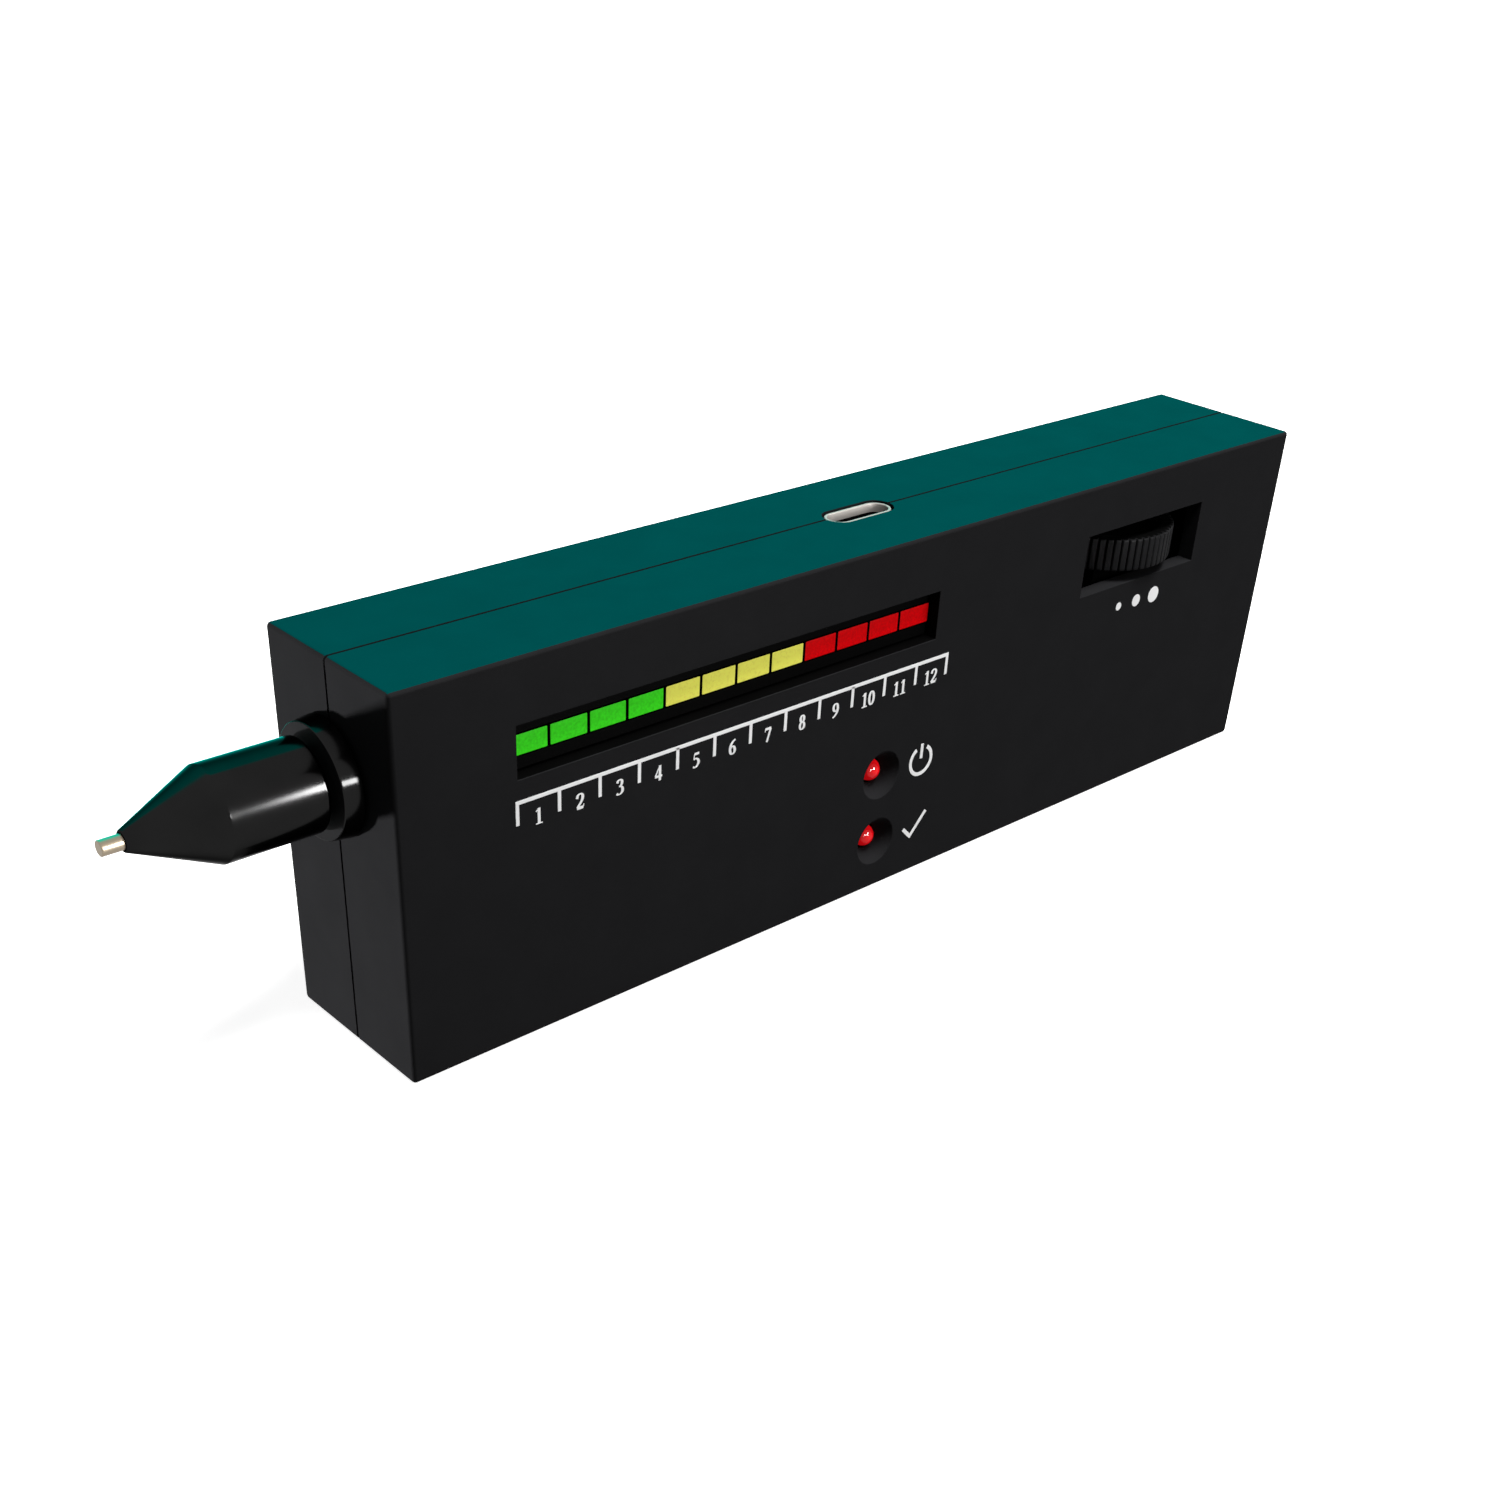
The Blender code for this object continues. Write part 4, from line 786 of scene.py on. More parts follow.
@dataclass
class ProbeTip:
    """Collar, barrel and pin on one axis. Distances run forward from the case's end."""

    steps: int = 128
    hold: float = 0.3
    cone_length: float = 8.1 * MM
    cone_end_radius: float = 1.0 * MM
    cone_lip: float = 0.12 * MM
    shoulder_ease: float = 0.08 * MM
    rear_ease: float = 0.2 * MM
    wall: float = 1.0 * MM
    guide_length: float = 4.0 * MM
    pin_clearance: float = 0.1 * MM
    pin_ease: float = 0.12 * MM
    collar_length: float = 2.4 * MM
    collar_ease: float = 0.1 * MM
    collar_foot: float = 0.3 * MM
    collar_band_rear: float = 0.35 * MM
    collar_rear_ease: float = 0.1 * MM
    collar_flare: float = 0.28 * MM
    face_share: float = 0.98
    spigot_radius: float = 3.3 * MM
    sleeve_radius: float = 4.0 * MM
    tail_hole: float = 2.1 * MM

    def __post_init__(self) -> None:
        """Takes the axis, the stations and the pin's radius from the CAD."""
        self.end = corners("front_shell")[0][0]
        low, high = corners("tip_barrel")
        self.origin = (self.end, 0.0, (low[2] + high[2]) / 2)
        self.barrel_radius = (high[2] - low[2]) / 2
        self.cone_end = self.end - low[0]
        self.barrel_rear = self.end - high[0]
        low, high = corners("probe_pin")
        self.pin_radius = (high[2] - low[2]) / 2
        self.pin_front = self.end - low[0]
        self.pin_rear = self.end - high[0]

    def turn(self, name: str, finish: Finish, loop: list[Triple]) -> bpy.types.Object:
        """Turns a piece about the tip's axis.

        Args:
            name: The piece's name.
            finish: Its finish.
            loop: Distance, radius and rounding of each corner of its profile.

        Returns:
            The piece.
        """
        table = np.array(loop)
        profile = rounded(table[:, :2], table[:, 2], hold=self.hold)
        return turned(profile, self.origin, Axis.MINUS_X, self.steps).build(name, finish)

    def barrel(self) -> None:
        """Builds the hollow barrel and cone, with the pin's guide in the cone."""
        shoulder = self.cone_end - self.cone_length
        bore = self.barrel_radius - self.wall
        hole = self.pin_radius + self.pin_clearance
        barrel = self.turn(
            "barrel_moulding",
            TIP_BLACK,
            [
                (self.cone_end, self.cone_end_radius, self.cone_lip),
                (shoulder, self.barrel_radius, self.shoulder_ease),
                (self.barrel_rear, self.barrel_radius, self.rear_ease),
                (self.barrel_rear, bore, 0),
                (shoulder, bore, 0),
                (self.cone_end - self.guide_length, hole, 0),
                (self.cone_end, hole, 0),
            ],
        )
        settle(barrel, Body.HOUSING, ("tip_barrel",))

    def collar(self) -> None:
        """Builds the collar, whose band widens a little towards the case and whose face takes
        painted shade.
        """
        low, high = corners("nose_collar")
        rim = (high[2] - low[2]) / 2
        spigot_end = self.end - low[0]
        sleeve_end = self.end - high[0]
        collar = self.turn(
            "collar_moulding",
            TIP_BLACK,
            [
                (spigot_end, self.spigot_radius, 0),
                (self.collar_length, self.spigot_radius, 0),
                (self.collar_length, rim - self.collar_flare, self.collar_ease),
                (self.collar_band_rear, rim, self.collar_rear_ease),
                (self.collar_foot, self.barrel_radius, 0),
                (self.collar_foot, self.sleeve_radius, 0),
                (sleeve_end, self.sleeve_radius, 0),
                (sleeve_end, self.tail_hole, 0),
                (spigot_end, self.tail_hole, 0),
            ],
        )
        # The collar's flat face takes the duller black as painted shade.
        dress_some(collar, WHEEL_BLACK, lambda polygon: polygon.normal.x < -self.face_share)
        settle(collar, Body.HOUSING, ("nose_collar",))

    def pin(self) -> None:
        """Builds the pin."""
        pin = self.turn(
            "pin_turning",
            PIN_METAL,
            [
                (self.pin_front, 0, 0),
                (self.pin_front, self.pin_radius, self.pin_ease),
                (self.pin_rear, self.pin_radius, self.pin_ease),
                (self.pin_rear, 0, 0),
            ],
        )
        settle(pin, Body.PROBE, ("probe_pin",))

    def build(self) -> None:
        """Builds the barrel, the collar and the pin."""
        self.barrel()
        self.collar()
        self.pin()


@dataclass
class LightBar:
    """Twelve flat lights side by side behind the long window, each a cast block on two legs."""

    depth: float = 7.0 * MM
    corner: float = 0.12 * MM
    edge: float = 0.1 * MM
    crown: float = 0.03 * MM
    face_rows: int = 6
    edge_rows: int = 4
    face_share: float = 0.8
    leg_spacing: float = 2.54 * MM
    leg_root: float = 0.5 * MM

    def block(self, size: Array) -> Form:
        """A cast block with its face at zero and its length along Y.

        Each row is the outline, drawn in by the row's inset. The face swells by the crown: a row at
        share q of the outline's size lies the crown times q squared behind the middle. The last two
        rows are the back's outline and its middle.

        Args:
            size: Its width and height.

        Returns:
            The form.
        """
        share = np.linspace(0, 1, self.face_rows)
        turn = np.linspace(0, math.pi / 2, self.edge_rows + 1)[1:]
        flat = np.full(self.face_rows, self.edge)
        insets = np.concatenate([flat, self.edge * (1 - np.sin(turn)), [0, 0]])
        scales = np.concatenate([share, np.ones(self.edge_rows + 1), [0]])
        round_edge = self.crown + self.edge * (1 - np.cos(turn))
        depths = np.concatenate([self.crown * share ** 2, round_edge, [self.depth, self.depth]])
        unit = oblong(*size, self.corner) / size
        spans = (size - 2 * insets[:, None]) * scales[:, None]
        outline = unit[None] * spans[:, None]
        y = np.broadcast_to(depths[:, None], outline.shape[:2])
        return skin(np.stack([outline[..., 0], y, outline[..., 1]], axis=-1))

    def build(self) -> None:
        """Builds the twelve lights. Only their faces have colour, and their sides are black."""
        slots = {entry["node"]: entry["material_slot"] for entry in FRAME["record"]["subparts"]}
        nodes = [name for name in slots if name.startswith("light_") and name[-1].isdigit()]
        for node in sorted(nodes):
            low, high = corners(node)
            middle = middle_of(node)
            form = self.block((high - low)[[0, 2]])
            form += leg_pair(self.depth - self.leg_root, high[1] - low[1], self.leg_spacing)
            placed = form.moved((middle[0], low[1], middle[2]))
            light = placed.build(node + "_block", SLOT_FINISHES[slots[node]])
            dress_some(light, INNER_BLACK_AND_PAINTED_SHADE, lambda polygon: polygon.normal.y > -self.face_share)
            settle(light, Body.HOUSING, (node,))


@dataclass
class StatusLamps:
    """Two round lamps that look out of countersinks, each a dome on a flanged cylinder."""

    steps: int = 64
    radius: float = 1.3 * MM
    length: float = 4.2 * MM
    flange: float = 0.3 * MM
    flange_thickness: float = 0.9 * MM
    dome_steps: int = 16

    def build(self) -> None:
        """Builds both lamps with their legs, which stand one dome radius apart.

        A lamp's profile is a quarter circle for the dome, then the cylinder and its flange.
        """
        turn = np.linspace(0, math.pi / 2, self.dome_steps)
        dome = self.radius * circle(turn)
        wide = self.radius + self.flange
        body = np.array(
            [
                (self.flange_thickness - self.length, self.radius),
                (self.flange_thickness - self.length, wide),
                (-self.length, wide),
                (-self.length, 0),
            ]
        )
        profile = np.vstack([dome, body])
        for node in ("power_lamp", "ready_lamp"):
            low, high = corners(node)
            middle = middle_of(node)
            centre = (middle[0], low[1] + self.radius, middle[2])
            form = turned(profile, centre, Axis.MINUS_Y, self.steps, loop=False)
            legs = leg_pair(self.length, high[1] - centre[1], self.radius)
            lamp = (form + legs.moved(centre)).build(node + "_dome", LAMP_RED)
            settle(lamp, Body.HOUSING, (node,))


@dataclass
class Thumbwheel:
    """Ridged wheel, dished on top round a hub. Its ridges are flats between narrow grooves."""

    ridges: int = 60
    points_per_ridge: int = 10
    groove_depth: float = 0.35 * MM
    groove_share: float = 0.32
    edge: float = 0.3 * MM
    edge_steps: int = 6
    rim: float = 1.2 * MM
    dish: float = 0.9 * MM
    hub_radius: float = 3.1 * MM
    bore_radius: float = 1.65 * MM
    face_share: float = 0.9
    sharp_angle: float = math.radians(50)

    def build(self) -> None:
        """Builds the wheel.

        The radius at angle a is the row's radius, less the groove's depth where the row is grooved.
        Across a groove the depth follows (1 + cos) / 2, so its mouth and its floor are rounded.
        """
        low, high = corners("thumbwheel")
        middle = middle_of("thumbwheel")
        radius = (high[0] - low[0]) / 2
        half = (high[2] - low[2]) / 2
        land = radius - self.groove_depth
        table = np.array(
            [
                (half, self.bore_radius, 0),
                (half, self.hub_radius, self.edge / 2),
                (half - self.dish, self.hub_radius, self.edge / 2),
                (half - self.dish, land - self.rim, self.edge / 2),
                (half, land - self.rim, self.edge / 2),
                (half, radius, self.edge),
                (-half, radius, self.edge),
                (-half, self.bore_radius, 0),
            ]
        )
        profile = rounded(table[:, :2], table[:, 2], self.edge_steps)
        grooved = np.clip((profile[:, 1] - (land - self.edge)) / self.edge, 0, 1)
        angle = np.linspace(0, 2 * math.pi, self.ridges * self.points_per_ridge, endpoint=False)
        off_ridge = np.abs((angle * self.ridges / (2 * math.pi)) % 1 - 0.5)
        phase = np.clip(off_ridge / (self.groove_share / 2), 0, 1)
        groove = (1 + np.cos(math.pi * phase)) / 2
        reach = profile[:, 1:] - self.groove_depth * grooved[:, None] * groove[None]
        points = np.stack(
            [
                middle[0] + reach * np.cos(angle),
                middle[1] + reach * np.sin(angle),
                middle[2] + np.broadcast_to(profile[:, :1], reach.shape),
            ],
            axis=-1,
        )
        form = skin(points, rows_loop=True)
        wheel = form.build("ridged_wheel", WHEEL_BLACK, self.sharp_angle)
        # The wheel's flat top and bottom faces take the inner black as painted shade.
        dress_some(wheel, INNER_BLACK_AND_PAINTED_SHADE, lambda polygon: abs(polygon.normal.z) > self.face_share)
        settle(wheel, Body.WHEEL, ("thumbwheel",))


@dataclass
class ChargingSocket:
    """Metal sleeve in the case's top, black deep inside as painted shade, and its tongue's contact
    pads.
    """

    wall: float = 0.3 * MM
    rim_ease: float = 0.1 * MM
    end_steps: int = 16
    liner_depth: float = 0.95 * MM
    pads: int = 12
    pad_pitch: float = 0.5 * MM
    pad_width: float = 0.25 * MM
    pad_length: float = 2.8 * MM
    pad_inset: float = 0.4 * MM
    pad_rise: float = 0.02 * MM
    tongue_thickness: float = 0.7 * MM

    def sleeve(self) -> Form:
        """The sleeve: a slot-shaped outline carried round the section of its wall.

        Returns:
            The form. Row k is the outline drawn in by the section's inset, at the section's height.
        """
        low, high = corners("port_shell")
        size = (high - low)[:2]
        middle = middle_of("port_shell")[:2]
        shade_top = high[2] - self.liner_depth
        outer = [(0, low[2]), (0, high[2])]
        inner = [(self.wall, high[2]), (self.wall, shade_top), (self.wall, low[2])]
        loop = rounded(np.array(outer + inner), [0, self.rim_ease, self.rim_ease, 0, 0])
        rows = []
        for inset, z in loop:
            long, wide = size - 2 * inset
            outline = oblong(long, wide, wide / 2 - MERGE, self.end_steps)
            rows.append(np.hstack([outline + middle, np.full((len(outline), 1), z)]))
        return skin(np.array(rows), rows_loop=True)

    def contacts(self) -> Form:
        """Contact pads in a row on both faces of the tongue.

        Pad n of N lies n - (N - 1) / 2 pitches beside the tongue's middle.

        Returns:
            The form.
        """
        middle = middle_of("port_tongue")
        top = corners("port_tongue")[1][2] - self.pad_inset
        rise = self.pad_rise
        pads = []
        for side in (-1, 1):
            offset = np.array([0, side * (self.tongue_thickness + rise) / 2])
            outline = oblong(self.pad_width, rise, rise / 4, 2) + offset
            ends = (top - self.pad_length, top)
            rows = [np.hstack([outline, np.full((len(outline), 1), z)]) for z in ends]
            pad = skin(np.array(rows), capped=True)
            for n in range(self.pads):
                x = middle[0] + (n - (self.pads - 1) / 2) * self.pad_pitch
                pads.append(pad.moved((x, 0, 0)))
        return joined(pads)

    def build(self) -> None:
        """Builds the sleeve and the pads."""
        sleeve = self.sleeve().build("socket_sleeve", SATIN_PLATE)
        middle = Vector(middle_of("port_shell"))
        shade_top = corners("port_shell")[1][2] - self.liner_depth

        def lined(polygon: bpy.types.MeshPolygon) -> bool:
            """Tells whether a face is deep in the sleeve and looks inwards."""
            return polygon.center.z < shade_top and polygon.normal.dot(polygon.center - middle) < 0

        # Faces deep in the sleeve that look inwards take the inner black as painted shade.
        dress_some(sleeve, INNER_BLACK_AND_PAINTED_SHADE, lined)
        settle(sleeve, Body.HOUSING, ("port_shell",))
        contacts = self.contacts().build("socket_contacts", GOLD)
        settle(contacts, Body.HOUSING)


# Printed figures and signs

# Width of the box that a figure stands in, whose height is one.
FIGURE_WIDTH = 0.62
OVAL_POINTS = 12
# The straight strokes of the signs, from the sign's middle, in shares of its size.
POWER_BAR = ((0, 0.15), (0, 1.2))
CHECK_MARK = (((-1, 0), (-0.3, -0.7)), ((-0.38, -0.78), (1, 0.8)))


@dataclass(frozen=True)
class Stroke:
    """One stroke of a figure, in a box of height one.

    Without a weight it is drawn as with a broad nib: thick where it runs up or down, thin across.
    """

    points: tuple[Pair, ...]
    weight: float | None = None
    curved: bool = False
    closed: bool = False


def line(x0: float, y0: float, x1: float, y1: float, weight: float) -> Stroke:
    """A straight stroke."""
    return Stroke(((x0, y0), (x1, y1)), weight)


def bow(*points: Pair) -> Stroke:
    """A curved stroke through points."""
    return Stroke(points, curved=True)


def oval(x: float, y: float, width: float, height: float) -> Stroke:
    """A closed oval stroke.

    The point at angle a is the middle, plus half the size times (cos a, sin a).

    Args:
        x: Its middle across the box.
        y: Its middle up the box.
        width: Its width.
        height: Its height.

    Returns:
        The stroke.
    """
    angle = np.linspace(0, 2 * math.pi, OVAL_POINTS, endpoint=False)
    points = np.array([x, y]) + np.array([width, height]) / 2 * circle(angle)
    return Stroke(tuple(map(tuple, points.tolist())), curved=True, closed=True)


SIX = bow(
    (0.52, 0.95), (0.34, 0.85), (0.18, 0.65), (0.12, 0.38), (0.18, 0.13), (0.32, 0.05),
    (0.46, 0.13), (0.50, 0.30), (0.44, 0.48), (0.31, 0.55), (0.18, 0.47),
)
# A nine is a six turned half round, about the middle of its box.
NINE = bow(*((FIGURE_WIDTH - x, 1 - y) for x, y in SIX.points))
FIGURES = {
    "0": (oval(0.31, 0.5, 0.40, 0.88),),
    "1": (
        line(0.33, 0.03, 0.33, 0.98, 0.19),
        line(0.12, 0.80, 0.33, 0.93, 0.07),
        line(0.10, 0.035, 0.56, 0.035, 0.07),
    ),
    "2": (
        bow(
            (0.10, 0.70), (0.17, 0.88), (0.33, 0.95), (0.48, 0.86), (0.50, 0.67), (0.40, 0.45),
            (0.24, 0.25), (0.12, 0.10),
        ),
        line(0.10, 0.085, 0.54, 0.085, 0.17),
        line(0.54, 0.10, 0.59, 0.27, 0.06),
    ),
    "3": (
        bow(
            (0.12, 0.78), (0.19, 0.91), (0.32, 0.95), (0.45, 0.87), (0.46, 0.70), (0.37, 0.58),
            (0.26, 0.54),
        ),
        bow(
            (0.26, 0.54), (0.42, 0.50), (0.51, 0.36), (0.48, 0.16), (0.33, 0.05), (0.18, 0.05),
            (0.10, 0.13),
        ),
    ),
    "4": (
        line(0.40, 0.96, 0.07, 0.33, 0.07),
        line(0.05, 0.30, 0.58, 0.30, 0.13),
        line(0.42, 0.98, 0.42, 0.02, 0.18),
    ),
    "5": (
        line(0.19, 0.90, 0.53, 0.90, 0.15),
        line(0.19, 0.92, 0.13, 0.56, 0.06),
        bow(
            (0.13, 0.56), (0.30, 0.60), (0.47, 0.48), (0.50, 0.28), (0.38, 0.09), (0.22, 0.04),
            (0.10, 0.10),
        ),
    ),
    "6": (SIX,),
    "7": (
        line(0.09, 0.88, 0.55, 0.88, 0.16),
        line(0.10, 0.90, 0.08, 0.70, 0.06),
        line(0.53, 0.88, 0.25, 0.02, 0.15),
    ),
    "8": (oval(0.31, 0.745, 0.29, 0.42), oval(0.31, 0.28, 0.36, 0.47)),
    "9": (NINE,),
}


def eased(points: Array, closed: bool, steps: int = 6) -> Array:
    """A smooth curve through points.

    Between points B and C, with A before and D after, the point at share t is half of
    2B + (C - A) t + (2A - 5B + 4C - D) t squared + (3B - A - 3C + D) t cubed.

    Args:
        points: Count by two.
        closed: The curve returns to its first point.
        steps: Points per span.

    Returns:
        The curve's points.
    """
    if closed:
        ends = np.vstack([points[-1:], points, points[:2]])
    else:
        ends = np.vstack([2 * points[0] - points[1], points, 2 * points[-1] - points[-2]])
    a, b, c, d = (ends[k:len(ends) - 3 + k][:, None] for k in range(4))
    t = np.linspace(0, 1, steps, endpoint=False)[None, :, None]
    square = 2 * a - 5 * b + 4 * c - d
    cube = 3 * b - a - 3 * c + d
    curve = (2 * b + (c - a) * t + square * t ** 2 + cube * t ** 3) / 2
    flat = curve.reshape(-1, 2)
    return flat if closed else np.vstack([flat, points[-1:]])


@dataclass
class PrintedMarks:
    """Ink on the front: the scale under the lights, its numbers and plain signs by the controls."""

    ink_rise: float = 0.02 * MM
    layer_rise: float = 0.002 * MM
    layer_count: int = 5
    line_width: float = 0.4 * MM
    scale_start: float = -41.8 * MM
    scale_height: float = 26.55 * MM
    tick_pitch: float = 4.92 * MM
    tick_end: float = 24.2 * MM
    divisions: int = 12
    figure_height: float = 1.72 * MM
    figure_middle: float = 24.5 * MM
    thick: float = 0.19
    thin: float = 0.07
    nib: float = 1.5
    sign_line: float = 0.45 * MM
    sign_offset: float = 8.0 * MM
    power_radius: float = 1.7 * MM
    power_arc: Pair = (-240, 60)
    ready_size: float = 1.8 * MM
    dots_offset: float = -1.2 * MM
    dots_height: float = 25.0 * MM
    dots_spacing: float = 3.4 * MM
    dot_radii: Triple = (0.5 * MM, 0.75 * MM, 1.0 * MM)
    arc_steps: int = 40
    dot_steps: int = 48

    def __post_init__(self) -> None:
        """Takes the front's place from the CAD."""
        self.front = corners("front_shell")[0][1]
        self.layers = 0

    def ribbon(self, path: Array, widths: Array, closed: bool = False) -> Form:
        """A raised strip of ink along a path.

        Its edges are the path plus and minus half the width along the unit normal of the path.

        Args:
            path: Places in X and Z, in metres.
            widths: The strip's width at each.
            closed: The path is a loop.

        Returns:
            The form. Strips differ a little in thickness, so that no two that meet share a plane.
        """
        self.layers += 1
        if closed:
            tangent = np.roll(path, -1, axis=0) - np.roll(path, 1, axis=0)
        else:
            tangent = np.gradient(path, axis=0)
        normal = np.stack([-tangent[:, 1], tangent[:, 0]], axis=-1)
        unit = normal / np.linalg.norm(normal, axis=1, keepdims=True)
        side = unit * np.asarray(widths)[:, None] / 2
        face = self.front - self.ink_rise - self.layer_rise * (self.layers % self.layer_count)
        rows = []
        for edge, y in ((side, face), (-side, face), (-side, self.front), (side, self.front)):
            at = path + edge
            rows.append(np.stack([at[:, 0], np.full(len(at), y), at[:, 1]], axis=-1))
        return skin(np.stack(rows, axis=1), rows_loop=closed, capped=not closed)

    def bar(self, ends: tuple[Pair, Pair] | Array, width: float) -> Form:
        """A straight strip between two places in X and Z."""
        return self.ribbon(np.array(ends), [width] * 2)

    def figure(self, sign: str, x: float) -> Form:
        """One figure.

        A stroke without a weight is as wide as thin + (thick - thin) times u to the power of the
        nib, where u is how far its unit direction points up or down.

        Args:
            sign: The figure, a key of FIGURES.
            x: Left side of its box, in metres.

        Returns:
            The form.
        """
        strips = []
        base = np.array([x, self.figure_middle - self.figure_height / 2])
        for stroke in FIGURES[sign]:
            points = np.array(stroke.points)
            path = eased(points, stroke.closed) if stroke.curved else points
            if stroke.weight is None:
                step = np.gradient(path, axis=0)
                upright = np.abs(step[:, 1]) / np.linalg.norm(step, axis=1)
                weights = self.thin + (self.thick - self.thin) * upright ** self.nib
            else:
                weights = np.full(len(path), stroke.weight)
            size = self.figure_height
            strips.append(self.ribbon(base + path * size, weights * size, stroke.closed))
        return joined(strips)

    def scale(self) -> Form:
        """The scale's long line and its ticks.

        Returns:
            The form.
        """
        height = self.scale_height
        half = self.line_width / 2
        ticks = [self.scale_start + n * self.tick_pitch for n in range(self.divisions + 1)]
        spans = [((ticks[0] - half, height), (ticks[-1] + half, height))]
        spans += [((x, height), (x, self.tick_end)) for x in ticks]
        return joined(self.bar(span, self.line_width) for span in spans)

    def numbers(self) -> Form:
        """Numbers 1 to 12, each in the middle of its division.

        Returns:
            The form.
        """
        figures = []
        advance = FIGURE_WIDTH * self.figure_height
        for n in range(1, self.divisions + 1):
            text = str(n)
            left = self.scale_start + (n - 0.5) * self.tick_pitch - len(text) * advance / 2
            for place, sign in enumerate(text):
                figures.append(self.figure(sign, left + place * advance))
        return joined(figures)

    def power_sign(self, centre: Array) -> Form:
        """An open ring with an upright bar.

        Args:
            centre: Its middle, in X and Z.

        Returns:
            The form.
        """
        angle = np.radians(np.linspace(*self.power_arc, self.arc_steps))
        ring = centre + self.power_radius * circle(angle)
        arc = self.ribbon(ring, np.full(len(ring), self.sign_line))
        return arc + self.bar(centre + self.power_radius * np.array(POWER_BAR), self.sign_line)

    def ready_sign(self, centre: Array) -> Form:
        """A check mark of two strokes, from its middle in X and Z."""
        strokes = centre + self.ready_size * np.array(CHECK_MARK)
        return joined(self.bar(stroke, self.sign_line) for stroke in strokes)

    def size_sign(self, centre: Array) -> Form:
        """Three dots that grow to the right.

        Args:
            centre: The middle dot's place, in X and Z.

        Returns:
            The form.
        """
        dots = []
        for n, radius in enumerate(self.dot_radii):
            at = (centre[0] + (n - 1) * self.dots_spacing, self.front, centre[1])
            profile = np.array([(self.ink_rise, 0), (self.ink_rise, radius), (0, radius), (0, 0)])
            dots.append(turned(profile, at, Axis.MINUS_Y, self.dot_steps, loop=False))
        return joined(dots)

    def build(self) -> None:
        """Prints every mark, the signs beside the lamps and under the wheel."""
        sign_x = corners("power_lamp")[0][0] + self.sign_offset
        power, ready, wheel = map(middle_of, ("power_lamp", "ready_lamp", "thumbwheel"))
        marks = {
            "scale_lines": self.scale(),
            "scale_numbers": self.numbers(),
            "power_sign": self.power_sign(np.array([sign_x, power[2]])),
            "ready_sign": self.ready_sign(np.array([sign_x, ready[2]])),
            "size_sign": self.size_sign(np.array([wheel[0] + self.dots_offset, self.dots_height])),
        }
        for name, form in marks.items():
            settle(form.build(name, INK), Body.HOUSING)


# Pieces that keep their CAD shape


@dataclass
class CarriedPieces:
    """CAD nodes whose shape is right, which only take a finish. Some screws are blackened, and the
    wheel screw's black is painted shade.
    """

    blackened: tuple[str, ...] = (
        "case_screw_1", "case_screw_2", "case_screw_3", "case_screw_4", "wheel_screw"
    )

    def build(self) -> None:
        """Gives each node the finish of its slot."""
        for entry in FRAME["record"]["subparts"]:
            node = entry["node"]
            slot_finish = SLOT_FINISHES[entry["material_slot"]]
            # The wheel screw takes the blackened steel as painted shade.
            finish = BLACK_STEEL if node in self.blackened else slot_finish
            data = FRAME["nodes"][node].data
            data.materials.clear()
            data.materials.append(finish.make())
            LOG.info("%s: %s", node, finish.name)


# Floor, surroundings, lamps and camera


class LampShape(Enum):
    """Outline of an area lamp, under Blender's name for it."""

    OBLONG = "RECTANGLE"
    OVAL = "ELLIPSE"


@dataclass(frozen=True)
class Softbox:
    """An area lamp aimed at a point, white. Sizes and places in metres."""

    name: str
    place: Triple
    aim: Triple
    size: Pair
    watts: float
    diffuse: bool = True
    glossy: bool = True
    shape: LampShape = LampShape.OBLONG

    def hang(self) -> None:
        """Adds the lamp to the scene."""
        lamp = bpy.data.lights.new(self.name, "AREA")
        lamp.shape = self.shape.value
        lamp.size, lamp.size_y = self.size
        lamp.energy = self.watts
        obj = new_object(self.name, lamp)
        obj.location = self.place
        aim = Vector(self.aim) - Vector(self.place)
        obj.rotation_euler = aim.to_track_quat("-Z", "Y").to_euler()
        obj.visible_camera = False
        obj.visible_diffuse = self.diffuse
        obj.visible_glossy = self.glossy


